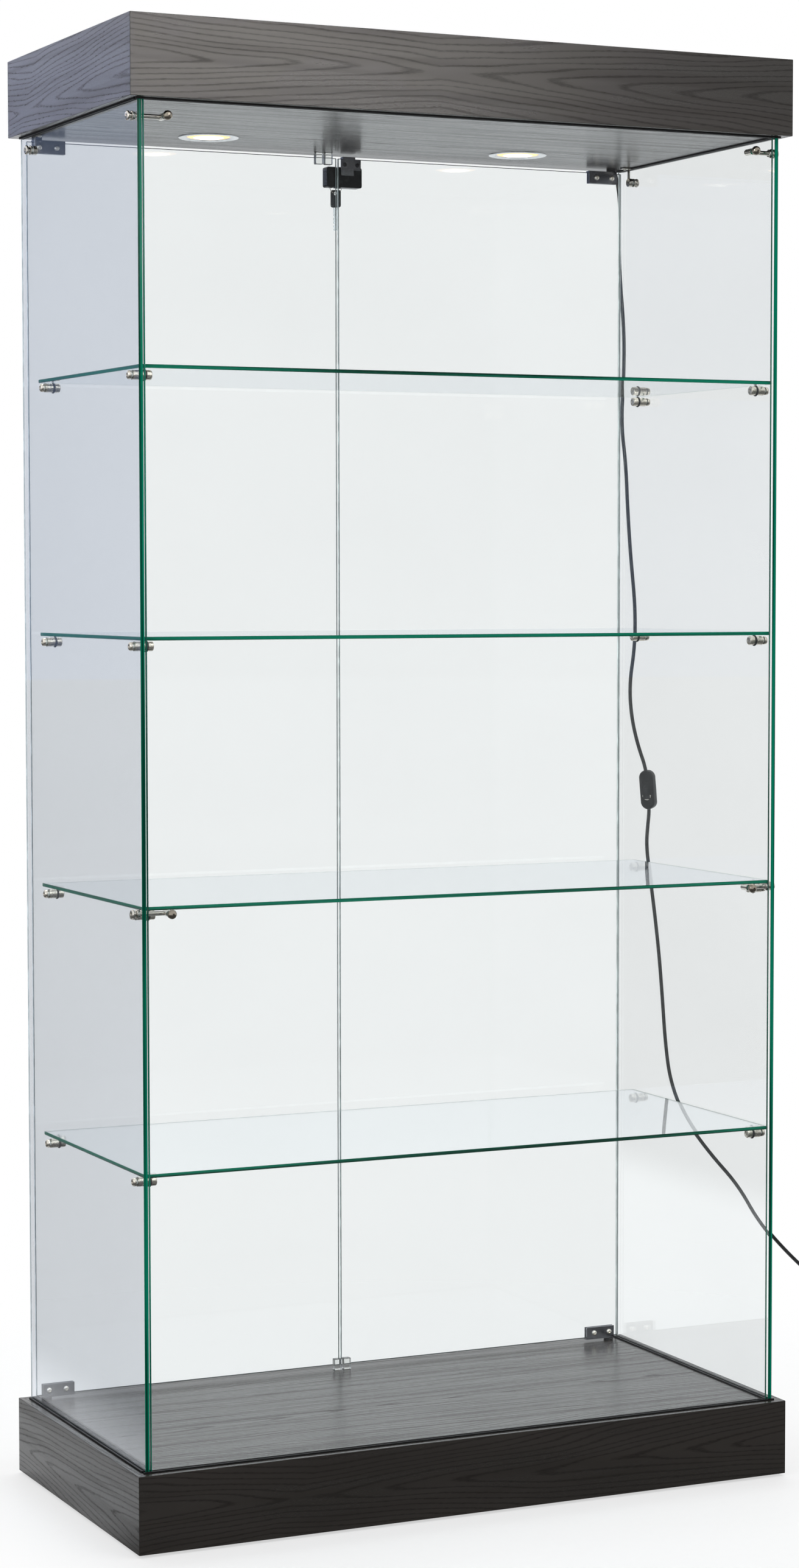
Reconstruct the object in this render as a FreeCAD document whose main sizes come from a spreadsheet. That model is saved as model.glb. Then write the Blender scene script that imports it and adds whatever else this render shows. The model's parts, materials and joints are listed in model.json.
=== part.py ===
import FreeCAD, Part
import math
import os
import re
import Sketcher

# Floor-standing glass display case: a plinth and a lit canopy of mitred boards,
# glass on three sides, two pivoting glass doors at the back and four glass shelves.
# Millimetres. +Z is up, the front faces -Y, and the origin is on the floor under the middle.

V = FreeCAD.Vector
doc = FreeCAD.newDocument("display_case")

SIZES = {
    # Sides of the small turned pieces and of the lead, which repeat often
    "facets": 8,
    "cord_facets": 6,
    # Whole case
    "case_width": 1000,
    "case_depth": 500,
    "case_height": 2040,
    # Plinth and canopy carcasses
    "plinth_height": 107,
    "canopy_height": 108,
    "board": 12,
    "panel": 15,
    "batten_width": 30,
    "batten_height": 20,
    "post_width": 45,
    "glide_height": 4,
    "glide_radius": 14,
    "glide_foot_radius": 11,
    "top_panel": 6,
    "top_panel_drop": 8,
    # Fixed glass and its glazing channel
    "glass": 6,
    "channel_lip": 3,
    "lip_proud": 2,
    "channel_floor": 3,
    "glazing_play": 0.2,
    "pane_head_gap": 1,
    "pane_end_gap": 0.5,
    "pane_corner_gap": 2.5,
    # Shelves and the pins that carry them
    "shelf_glass": 5,
    "shelf_depth": 406,
    "shelf_gap": 1.5,
    "first_shelf": 512.5,
    "shelf_pitch": 358,
    "pin_front_inset": 23.5,
    "pin_rear_inset": 30.5,
    "pin_radius": 6.5,
    "pin_length": 22,
    "pin_bevel": 1,
    "pin_cap_radius": 5.8,
    "pin_cap_height": 5,
    "pin_cap_bevel": 2.2,
    "o_ring_radius": 8,
    "o_ring_width": 2.6,
    "o_ring_offset": 11.4,
    # Metal connectors that hold the fixed glass together
    "stud_radius": 3,
    "stud_play": 0.5,
    "bar_radius": 3.25,
    "bar_length": 34,
    "bar_inset": 18,
    "bar_post_radius": 4.5,
    "bar_post_tail": 5,
    "connector_drop": 22,
    "connector_low": 860.5,
    "spool_radius": 6.5,
    "spool_waist": 4.3,
    "spool_length": 9,
    "spool_rim": 2,
    "spool_slope": 1,
    "ball_radius": 6.5,
    "ball_stand": 6,
    "ball_collar_radius": 4.2,
    "hanger_inset": 44,
    "hanger_width": 5,
    "hanger_strap": 2,
    "hanger_foot": 13.5,
    "hanger_eye_radius": 6.5,
    "hanger_eye_depth": 6,
    "hanger_gap": 0.5,
    # Downlights and their transformer
    "light_spread": 492,
    "light_rear_inset": 132,
    "light_hole_radius": 37.3,
    "trim_radius": 43,
    "trim_drop": 3,
    "trim_collar_radius": 37,
    "trim_collar_height": 8,
    "lens_radius": 30.7,
    "lens_play": 0.3,
    "lens_thickness": 3,
    "can_radius": 34,
    "can_height": 54,
    "can_neck_radius": 24,
    "can_neck_height": 8,
    "clip_root": 4,
    "clip_reach": 52,
    "clip_width": 12,
    "clip_thickness": 2,
    "transformer_length": 120,
    "transformer_width": 46,
    "transformer_height": 32,
    "transformer_fillet": 6,
    "lead_radius": 2.5,
    "lead_height": 14,
    "lead_sag": 5,
    "lead_run": 68,
    "lead_offset": 12,
    "lead_clear": 12,
    # Doors, their pivots and stops
    "door_glass": 5,
    "door_rear_inset": 22.5,
    "door_meeting_gap": 3,
    "door_side_gap": 2,
    "pivot_inset": 16,
    "pivot_gap": 3.5,
    "pivot_radius": 3,
    "pivot_length": 9.5,
    "pivot_play": 0.05,
    "thrust_play": 0.3,
    "bush_radius": 5,
    "bush_depth": 10,
    "bush_flange": 7.5,
    "clamp_length": 48,
    "clamp_overhang": 7,
    "clamp_height": 19,
    "clamp_wall": 2.5,
    "clamp_play": 0.1,
    "screw_head_radius": 4,
    "screw_head_height": 2.6,
    "screw_spacing": 26,
    "screw_edge": 9,
    "stop_width": 12,
    "stop_height": 17,
    "stop_depth": 10,
    "stop_touch": 0.3,
    "stop_split": 3,
    "top_stop_offset": 25,
    # Lock on the right door and its keeper on the left door
    "lock_left": 2,
    "lock_width": 39,
    "lock_height": 30,
    "lock_depth": 16.5,
    "lock_drop": 12,
    "lock_fillet": 3,
    "lock_clamp_left": 5,
    "lock_clamp_width": 32,
    "lock_clamp_height": 16,
    "lock_clamp_wall": 2.6,
    "lock_clamp_drop": 1,
    "lock_web_left": 8,
    "lock_web_width": 20,
    "lock_tab_height": 24,
    "lock_screw_inset": 6,
    "lock_screw_radius": 3.3,
    "lock_screw_head": 1.8,
    "plug_axis_x": 13.5,
    "plug_axis_drop": 16,
    "plug_radius": 8,
    "plug_flange_radius": 9.2,
    "plug_flange": 1.5,
    "plug_play": 0.06,
    "cam_pin_radius": 1.25,
    "cam_pin_play": 0.35,
    "cam_pin_gap": 0.3,
    "cam_slot_end": 0.6,
    "plug_end_play": 0.05,
    "bolt_travel": 8,
    "bolt_thickness": 3,
    "bolt_height": 12,
    "bolt_length": 32,
    "bolt_play": 0.15,
    "bolt_recess": 1,
    "bolt_back_wall": 3.3,
    "keeper_width": 14,
    "keeper_end_wall": 5,
    "keeper_base": 2.3,
    "keeper_slot": 5.2,
    # Keys and their ring
    "key_thickness": 2,
    "key_blade_width": 8,
    "key_blade_depth": 8,
    "key_bow_radius": 10,
    "key_bow_reach": 12.5,
    "key_hole_radius": 3.2,
    "key_hole_reach": 16,
    "ring_radius": 9.5,
    "ring_wire": 0.8,
    "spare_head_width": 16,
    "spare_head_length": 26,
    "spare_head_thickness": 3.4,
    "spare_hole_radius": 3,
    "spare_hole_inset": 5,
    "spare_blade_length": 34,
    "spare_turn": 40,
    # Mains lead, its gland, switch, coil, tie and plug
    "cord_radius": 3,
    "cord_stand": 11,
    "boot_wall": 0.6,
    "gland_inset": 19,
    "gland_drop": 30,
    "gland_radius": 5,
    "gland_flange_radius": 9,
    "gland_sleeve_radius": 4.4,
    "gland_flange": 2,
    "gland_bend": 9,
    "gland_boot": 20,
    "switch_offset": 71.6,
    "switch_z": 972.5,
    "switch_entry": 29.5,
    "switch_length": 62,
    "switch_width": 24,
    "switch_front": 7,
    "switch_back": 8,
    "switch_turn": -55,
    "switch_tilt": -5,
    "rocker_length": 27,
    "rocker_width": 10.4,
    "rocker_inner": 2,
    "rocker_proud": 2.5,
    "rocker_pivot": 3,
    "rocker_tilt": 7,
    "rocker_play": 1,
    "trunnion_radius": 1.2,
    "trunnion_length": 1.2,
    "trunnion_play": 0.05,
    "trunnion_end_gap": 0.1,
    "coil_offset": 480,
    "coil_stand": 76,
    "coil_radius": 40,
    "coil_turns": 3.5,
    "coil_pitch": 6.6,
    "coil_layer": 6.7,
    "coil_lift": 1.3,
    "tail_length": 26,
    "tie_width": 5,
    "tie_wall": 0.8,
    "tie_play": 0.4,
    "plug_length": 30,
    "plug_width": 26,
    "plug_thickness": 22,
    "plug_bevel": 6,
    "plug_boot_length": 14,
    "plug_boot_radius": 4.6,
    "blade_length": 17,
    "blade_width": 6.3,
    "blade_thickness": 1.5,
    "blade_spacing": 12.7,
}

PLACES = {
    "half_width": "case_width / 2",
    "half_depth": "case_depth / 2",
    "board_in_x": "half_width - board",
    "board_in_y": "half_depth - board",
    "pane_out_x": "board_in_x - channel_lip",
    "pane_in_x": "pane_out_x - glass",
    "deck_edge_x": "pane_in_x - channel_lip",
    "pane_front_y": "channel_lip - board_in_y",
    "pane_back_y": "pane_front_y + glass",
    "deck_front_y": "pane_back_y + channel_lip",
    "pane_rear_y": "board_in_y - pane_end_gap",
    "deck_top": "glide_height + plinth_height",
    "deck_bottom": "deck_top - panel",
    "ceiling_bottom": "case_height - canopy_height",
    "ceiling_top": "ceiling_bottom + panel",
    "pane_bottom": "deck_bottom + channel_floor",
    "pane_seat": "ceiling_top - channel_floor",
    "pane_top": "pane_seat - pane_head_gap",
    "post_top": "deck_bottom - batten_height",
    "shelf_x": "pane_in_x - shelf_gap",
    "shelf_front_y": "pane_back_y + shelf_gap",
    "shelf_rear_y": "shelf_front_y + shelf_depth",
    "pin_front_y": "shelf_front_y + pin_front_inset",
    "pin_rear_y": "shelf_rear_y - pin_rear_inset",
    "first_pin": "first_shelf - shelf_glass - o_ring_radius",
    "stud_hole": "stud_radius + stud_play",
    "bar_y": "pane_front_y + bar_inset",
    "bar_reach": "bar_y - pane_back_y",
    "stud_x": "pane_in_x - bar_length",
    "connector_top": "ceiling_bottom - connector_drop",
    "hanger_y": "pane_rear_y - hanger_inset",
    "light_x": "light_spread / 2",
    "light_y": "half_depth - light_rear_inset",
    "door_out_y": "half_depth - door_rear_inset",
    "door_in_y": "door_out_y - door_glass",
    "door_mid_y": "door_out_y - door_glass / 2",
    "door_end_x": "pane_in_x - door_side_gap",
    "door_meet_x": "door_meeting_gap / 2",
    "pivot_x": "door_end_x - pivot_inset",
    "clamp_low": "deck_top + pivot_gap",
    "clamp_high": "ceiling_bottom - pivot_gap",
    "door_bottom": "clamp_low + clamp_wall",
    "door_top": "clamp_high - clamp_wall",
    "clamp_half": "door_glass / 2 + clamp_play + clamp_wall",
    "lock_low": "door_top - lock_drop - lock_height",
    "lock_high": "door_top - lock_drop",
    "lock_face_y": "door_out_y + clamp_play",
    "lock_rear_y": "lock_face_y + lock_depth",
    "lock_right": "lock_left + lock_width",
    "plug_z": "lock_high - plug_axis_drop",
    "bolt_front_y": "lock_face_y + bolt_back_wall",
    "bolt_rear_y": "bolt_front_y + bolt_thickness",
    "bolt_left": "lock_left + bolt_recess",
    "cam_reach": "bolt_travel / 2",
    "cam_sweep": "cam_reach * sqrt(2) + cam_pin_radius",
    "plug_front_y": "bolt_rear_y + bolt_play",
    "key_rear_y": "lock_rear_y + plug_flange",
    "ring_y": "key_rear_y + key_hole_reach",
    "ring_z": "plug_z - ring_radius",
    "spare_hole_z": "plug_z - 2 * ring_radius",
    "gland_x": "half_width - gland_inset",
    "gland_z": "case_height - gland_drop",
    "cord_y": "half_depth + cord_stand",
    "gland_outlet": "gland_z - gland_bend - gland_boot",
    "switch_x": "gland_x + switch_offset",
    "switch_end": "switch_length / 2 - switch_width / 2",
    "coil_x": "gland_x + coil_offset",
    "coil_y": "half_depth + coil_stand",
    "coil_low": "coil_lift + cord_radius",
    "coil_high": "coil_low + coil_layer",
}

# Hand-chosen points of the mains lead. Each row is the distance right of the gland, the distance
# behind the case, and then the drop below the gland (upper part, stretched to reach the switch)
# or the height above the floor (lower part, from the switch, and its landing at the coil).
UPPER_ROUTE = [
    (0, 11, 0),
    (0, 11, 31),
    (13, 12, 75),
    (16, 11, 141),
    (19, 12, 209),
    (27, 12, 291),
    (26, 11, 363),
    (22, 12, 436),
    (30, 11, 497),
    (34, 12, 569),
    (39, 11, 643),
    (48, 12, 719),
    (47, 11, 783),
    (38, 12, 841),
    (41, 11, 893),
    (53, 11, 939),
    (69, 11, 979),
]
LOWER_ROUTE = [
    (74, 11, 943),
    (71, 11, 915),
    (69, 12, 884),
    (75, 11, 838),
    (84, 12, 780),
    (92, 11, 712),
    (99, 12, 640),
    (104, 11, 568),
    (114, 12, 505),
    (141, 11, 443),
    (187, 12, 385),
    (239, 11, 330),
    (277, 12, 268),
    (327, 11, 214),
    (379, 12, 168),
    (397, 13, 142),
]
LANDING_ROUTE = [
    (397, 13, 142),
    (413, 13, 116),
    (428, 17, 66),
    (437, 28, 26),
    (440, 50, 4.3),
    (440, 76, 4.3),
]


# Share of the shorter run that a bend of a lead takes up on each side of its corner.
ARC_SHARE = 0.45


def filled_sheet(name, cells, text):
    """A spreadsheet with one aliased row per entry."""
    sheet = doc.addObject("Spreadsheet::Sheet", name)
    for row, (alias, value) in enumerate(cells.items(), 1):
        sheet.set(f"A{row}", alias)
        sheet.setAlias(f"B{row}", alias)
        sheet.set(f"B{row}", text(value))
    return sheet


OWNER = {alias: "Sizes" for alias in SIZES}
OWNER.update({alias: "Places" for alias in PLACES})
WORD = re.compile(r"[a-z][a-z0-9_]*")


def full(text):
    """An expression with the sheet's name put before every alias in it."""
    return WORD.sub(lambda m: f"{OWNER[m[0]]}.{m[0]}" if m[0] in OWNER else m[0], text)


sizes = filled_sheet("Sizes", SIZES, str)
places = filled_sheet("Places", PLACES, lambda value: "=" + full(value))
doc.recompute()


def mm(alias):
    """The present value of one cell, for shapes that Part's own functions make."""
    return float((sizes if alias in SIZES else places).get(alias))


TURN = {
    "x": FreeCAD.Rotation(V(0, 1, 0), 90),
    "y": FreeCAD.Rotation(V(1, 0, 0), -90),
    "z": FreeCAD.Rotation(),
    "-x": FreeCAD.Rotation(V(0, 1, 0), -90),
    "-y": FreeCAD.Rotation(V(1, 0, 0), 90),
    "-z": FreeCAD.Rotation(V(1, 0, 0), 180),
}
nodes = {}


def keep(label, solid):
    """Name a finished sub-part."""
    solid.Label = label
    nodes[label] = solid
    return solid


def block(name, x, y, z):
    """A box between a low and a high expression on each axis."""
    solid = doc.addObject("Part::Box", name)
    spans = {"Length": ("x", x), "Width": ("y", y), "Height": ("z", z)}
    for prop, (axis, (low, high)) in spans.items():
        solid.setExpression(prop, full(f"({high}) - ({low})"))
        solid.setExpression(f"Placement.Base.{axis}", full(low))
    return solid


def rod(name, radius, x, y, z, sides=None):
    """A cylinder, or a prism with some sides, along the axis given as a low and a high expression."""
    if sides:
        solid = doc.addObject("Part::Prism", name)
        solid.setExpression("Polygon", full(sides))
        solid.setExpression("Circumradius", full(radius))
    else:
        solid = doc.addObject("Part::Cylinder", name)
        solid.setExpression("Radius", full(radius))
    for axis, span in {"x": x, "y": y, "z": z}.items():
        low = span
        if isinstance(span, tuple):
            low, high = span
            solid.setExpression("Height", full(f"({high}) - ({low})"))
            solid.Placement = FreeCAD.Placement(V(), TURN[axis])
        solid.setExpression(f"Placement.Base.{axis}", full(low))
    return solid


def faceted(name, profile):
    """A small turned piece: a ruled loft through regular polygons given as radius and height."""
    rings = []
    for i, (radius, z) in enumerate(profile):
        ring = doc.addObject("Part::RegularPolygon", f"{name}_ring_{i}")
        ring.setExpression("Polygon", full("facets"))
        ring.setExpression("Circumradius", full(radius))
        ring.setExpression("Placement.Base.z", full(z))
        rings.append(ring)
    solid = doc.addObject("Part::Loft", name)
    solid.Sections = rings
    solid.Solid = True
    solid.Ruled = True
    return solid


def fuse(name, solids):
    """Solids joined into one."""
    joined = doc.addObject("Part::MultiFuse", name)
    joined.Shapes = solids
    joined.Refine = True
    return joined


def cut(name, base, tools):
    """A solid with tools taken out of it."""
    result = doc.addObject("Part::Cut", name)
    result.Base = base
    result.Tool = tools[0] if len(tools) == 1 else fuse(name + "_tools", tools)
    return result


def group(name, solids):
    """Separate solids that share one node."""
    bundle = doc.addObject("Part::Compound", name)
    bundle.Links = solids
    return bundle


def copies(name, pattern, placements):
    """Separate copies of a pattern piece, one at each placement."""
    doc.recompute()
    bundle = doc.addObject("Part::Feature", name)
    bundle.Shape = Part.Compound([pattern.Shape.transformed(p.toMatrix(), True) for p in placements])
    return bundle


def mirrored(name, source):
    """A left-handed copy of a right-handed piece."""
    image = doc.addObject("Part::Mirroring", name)
    image.Source = source
    image.Normal = V(1, 0, 0)
    return image


def at(x, y, z, rotation=FreeCAD.Rotation()):
    """A placement."""
    return FreeCAD.Placement(V(x, y, z), rotation)


def sketched(name, plane, outline, holes=()):
    """A body whose sketch holds a closed outline and round holes, all bound to the sheets."""
    body = doc.addObject("PartDesign::Body", name)
    sketch = body.newObject("Sketcher::SketchObject", name + "_sketch")
    base = next(f for f in body.Origin.OriginFeatures if f.Role == plane + "_Plane")
    sketch.AttachmentSupport = [(base, "")]
    sketch.MapMode = "FlatFace"
    count = len(outline)
    spokes = [2 * math.pi * i / count for i in range(count)]
    start = [V(math.cos(a), math.sin(a), 0) for a in spokes]
    sides = [Part.LineSegment(start[i], start[(i + 1) % count]) for i in range(count)]
    rounds = [Part.Circle(V(2 + i, 0, 0), V(0, 0, 1), 0.1) for i in range(len(holes))]
    sketch.addGeometry(sides + rounds, False)
    rules = [Sketcher.Constraint("Coincident", i, 2, (i + 1) % count, 1) for i in range(count)]
    texts = []
    points = [(i, 1, x, y) for i, (x, y) in enumerate(outline)]
    points += [(count + i, 3, x, y) for i, (x, y, radius) in enumerate(holes)]
    for side, end, x, y in points:
        rules.append(Sketcher.Constraint("DistanceX", -1, 1, side, end, 1.0))
        rules.append(Sketcher.Constraint("DistanceY", -1, 1, side, end, 1.0))
        texts += [x, y]
    for i, (x, y, radius) in enumerate(holes):
        rules.append(Sketcher.Constraint("Radius", count + i, 1.0))
        texts.append(radius)
    sketch.addConstraint(rules)
    for i, text in enumerate(texts):
        sketch.setExpression(f"Constraints[{count + i}]", full(text))
    return body, sketch


def plate(name, plane, outline, thickness, level, holes=()):
    """A sketched outline padded towards the plane's positive side from a level."""
    body, sketch = sketched(name, plane, outline, holes)
    pad = body.newObject("PartDesign::Pad", name + "_pad")
    pad.Profile = sketch
    pad.Reversed = plane == "XZ"
    pad.setExpression("Length", full(thickness))
    axis = {"XY": "z", "XZ": "y", "YZ": "x"}[plane]
    body.setExpression(f"Placement.Base.{axis}", full(level))
    return body


def turned(name, profile):
    """A profile of radius and height turned about the Z axis."""
    body, sketch = sketched(name, "XZ", profile)
    spin = body.newObject("PartDesign::Revolution", name + "_turn")
    spin.Profile = sketch
    spin.ReferenceAxis = (sketch, ["V_Axis"])
    spin.Angle = 360
    return body


def rounded(body, radius, chosen):
    """Fillet the body's edges that a test picks."""
    doc.recompute()
    tip = body.Tip
    names = [f"Edge{i}" for i, edge in enumerate(tip.Shape.Edges, 1) if chosen(edge)]
    fillet = body.newObject("PartDesign::Fillet", body.Name + "_fillet")
    fillet.Base = (tip, names)
    fillet.setExpression("Radius", full(radius))
    body.Tip = fillet
    return body


def rectangle(low_x, high_x, low_y, high_y):
    """The four corners of a sketch rectangle."""
    return [(low_x, low_y), (high_x, low_y), (high_x, high_y), (low_x, high_y)]


def along(edge, axis):
    """Whether a straight edge runs along an axis."""
    return edge.Curve.TypeId == "Part::GeomLine" and abs(abs(edge.Curve.Direction.dot(axis)) - 1) < 1e-6


def carcass(prefix, bottom, height):
    """Four boards mitred at the corners."""
    corners = {
        "front": [
            ("-half_width", "-half_depth"),
            ("half_width", "-half_depth"),
            ("board_in_x", "-board_in_y"),
            ("-board_in_x", "-board_in_y"),
        ],
        "back": [
            ("-board_in_x", "board_in_y"),
            ("board_in_x", "board_in_y"),
            ("half_width", "half_depth"),
            ("-half_width", "half_depth"),
        ],
        "left": [
            ("-half_width", "-half_depth"),
            ("-board_in_x", "-board_in_y"),
            ("-board_in_x", "board_in_y"),
            ("-half_width", "half_depth"),
        ],
        "right": [
            ("half_width", "half_depth"),
            ("board_in_x", "board_in_y"),
            ("board_in_x", "-board_in_y"),
            ("half_width", "-half_depth"),
        ],
    }
    return {
        side: plate(f"{prefix}_{side}", "XY", outline, height, bottom)
        for side, outline in corners.items()
    }


def bush_holes(name, z):
    """Tools for the two pivot bush holes of a panel."""
    return [
        rod(f"{name}_bush_hole_{i}", "bush_radius", x, "door_mid_y", z, "facets")
        for i, x in enumerate(("-pivot_x", "pivot_x"))
    ]


def plinth():
    """The plinth's boards, the deck and the glides."""
    for side, board in carcass("plinth", "glide_height", "plinth_height").items():
        keep(f"plinth_{side}_board", board)
    level = ("deck_bottom", "deck_top")
    blank = block("deck_blank", ("-deck_edge_x", "deck_edge_x"), ("deck_front_y", "board_in_y"), level)
    keep("plinth_deck", cut("deck", blank, bush_holes("deck", level)))
    glide = faceted(
        "glide",
        [
            ("glide_foot_radius", "0"),
            ("glide_radius", "glide_height / 2"),
            ("glide_radius", "glide_height"),
        ],
    )
    x = mm("board_in_x") - mm("post_width") / 2
    y = mm("board_in_y") - mm("post_width") / 2
    feet = [at(i * x, j * y, 0) for i in (-1, 1) for j in (-1, 1)]
    keep("plinth_glides", copies("glides", glide, feet))


def battens():
    """Ledgers that carry the deck, the ceiling and the channels, and the plinth's corner posts."""
    pieces = []
    levels = {
        "low": ("post_top", "deck_bottom"),
        "high": ("ceiling_top", "ceiling_top + batten_height"),
    }
    inner_y = "board_in_y - batten_width"
    for name, z in levels.items():
        long_x = ("-board_in_x", "board_in_x")
        short_y = (f"-({inner_y})", inner_y)
        pieces += [
            block(f"ledger_{name}_front", long_x, ("-board_in_y", f"-({inner_y})"), z),
            block(f"ledger_{name}_back", long_x, (inner_y, "board_in_y"), z),
            block(f"ledger_{name}_left", ("-board_in_x", "batten_width - board_in_x"), short_y, z),
            block(f"ledger_{name}_right", ("board_in_x - batten_width", "board_in_x"), short_y, z),
        ]
    left = ("-board_in_x", "post_width - board_in_x")
    right = ("board_in_x - post_width", "board_in_x")
    front = ("-board_in_y", "post_width - board_in_y")
    back = ("board_in_y - post_width", "board_in_y")
    for x in (left, right):
        for y in (front, back):
            pieces.append(block(f"post_{len(pieces)}", x, y, ("glide_height", "post_top")))
    keep("framing_battens", group("battens", pieces))


def channels(prefix, back, floor, lip):
    """Glazing channel along the front, left and right, between heights of its back, floor and lips."""
    def profile(outer, slot_outer, slot_inner, inner):
        return [
            (outer, back),
            (inner, back),
            (inner, lip),
            (slot_inner, lip),
            (slot_inner, floor),
            (slot_outer, floor),
            (slot_outer, lip),
            (outer, lip),
        ]

    slot_y = ("pane_front_y - glazing_play", "pane_back_y + glazing_play")
    slot_x = ("pane_out_x + glazing_play", "pane_in_x - glazing_play")
    front = plate(
        f"{prefix}_front_blank",
        "YZ",
        profile("-board_in_y", *slot_y, "deck_front_y"),
        "2 * board_in_x",
        "-board_in_x",
    )
    notch_z = (floor, lip) if prefix == "base" else (lip, floor)
    notches = [
        block(f"{prefix}_notch_left", ("-pane_out_x", "-pane_in_x"), (slot_y[1], "deck_front_y"), notch_z),
        block(f"{prefix}_notch_right", ("pane_in_x", "pane_out_x"), (slot_y[1], "deck_front_y"), notch_z),
    ]
    pieces = [cut(f"{prefix}_front_channel", front, notches)]
    for side, sign in {"left": "-1 * ", "right": ""}.items():
        across = [f"{sign}({x})" for x in ("board_in_x", *slot_x, "deck_edge_x")]
        length = "board_in_y - deck_front_y"
        pieces.append(plate(f"{prefix}_{side}_channel", "XZ", profile(*across), length, "deck_front_y"))
    keep(f"{prefix}_glazing_channels", group(f"{prefix}_channels", pieces))


def fixed_glass():
    """The front pane between the two side panes, all drilled for their hardware."""
    heights = ("connector_low", "connector_top")
    pane_z = ("pane_bottom", "pane_top")
    front_y = ("pane_front_y", "pane_back_y")
    end = "pane_in_x - pane_corner_gap"
    pane = block("front_pane", (f"-({end})", end), front_y, pane_z)
    drilled = [(x, z) for x in ("-stud_x", "stud_x") for z in heights]
    holes = []
    for i, (x, z) in enumerate(drilled):
        holes.append(rod(f"front_hole_{i}", "stud_hole", x, front_y, z, "facets"))
    keep("front_glass", cut("front_pane_drilled", pane, holes))
    drilled = [("bar_y", z) for z in heights]
    drilled.append(("hanger_y", "connector_top"))
    for shelf in range(4):
        for y in ("pin_front_y", "pin_rear_y"):
            drilled.append((y, f"first_pin + {shelf} * shelf_pitch"))
    for side, x in {"left": ("-pane_out_x", "-pane_in_x"), "right": ("pane_in_x", "pane_out_x")}.items():
        pane = block(f"{side}_pane", x, ("pane_front_y", "pane_rear_y"), pane_z)
        holes = []
        for i, (y, z) in enumerate(drilled):
            holes.append(rod(f"{side}_hole_{i}", "stud_hole", x, y, z, "facets"))
        keep(f"{side}_glass", cut(f"{side}_pane_drilled", pane, holes))


def shelves():
    """Four glass shelves, each on four pins through the side glass."""
    for shelf in range(4):
        top = f"first_shelf + {shelf} * shelf_pitch"
        x = ("-shelf_x", "shelf_x")
        y = ("shelf_front_y", "shelf_rear_y")
        keep(f"shelf_{shelf + 1}", block(f"shelf{shelf + 1}", x, y, (f"{top} - shelf_glass", top)))
    body = faceted(
        "pin_body",
        [
            ("pin_radius", "0"),
            ("pin_radius", "pin_length - pin_bevel"),
            ("pin_radius - pin_bevel", "pin_length"),
        ],
    )
    barrel = fuse("pin_barrel", [body, rod("pin_stud", "stud_radius", "0", "0", ("-glass", "0"), "facets")])
    ring_z = ("o_ring_offset", "o_ring_offset + o_ring_width")
    ring = cut(
        "pin_ring",
        rod("pin_ring_outside", "o_ring_radius", "0", "0", ring_z, "facets"),
        [rod("pin_ring_bore", "pin_radius", "0", "0", ring_z, "facets")],
    )
    cap = faceted(
        "pin_cap",
        [
            ("pin_cap_radius", "0"),
            ("pin_cap_radius", "pin_cap_height - pin_cap_bevel"),
            ("pin_cap_radius - pin_cap_bevel", "pin_cap_height"),
        ],
    )
    inward = []
    outward = []
    for side, turn_in, turn_out in ((-1, "x", "-x"), (1, "-x", "x")):
        for y in (mm("pin_front_y"), mm("pin_rear_y")):
            for shelf in range(4):
                z = mm("first_pin") + shelf * mm("shelf_pitch")
                inward.append(at(side * mm("pane_in_x"), y, z, TURN[turn_in]))
                outward.append(at(side * mm("pane_out_x"), y, z, TURN[turn_out]))
    keep("shelf_pin_barrels", copies("barrels", barrel, inward))
    keep("shelf_pin_o_rings", copies("o_rings", ring, inward))
    keep("shelf_pin_caps", copies("caps", cap, outward))


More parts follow.
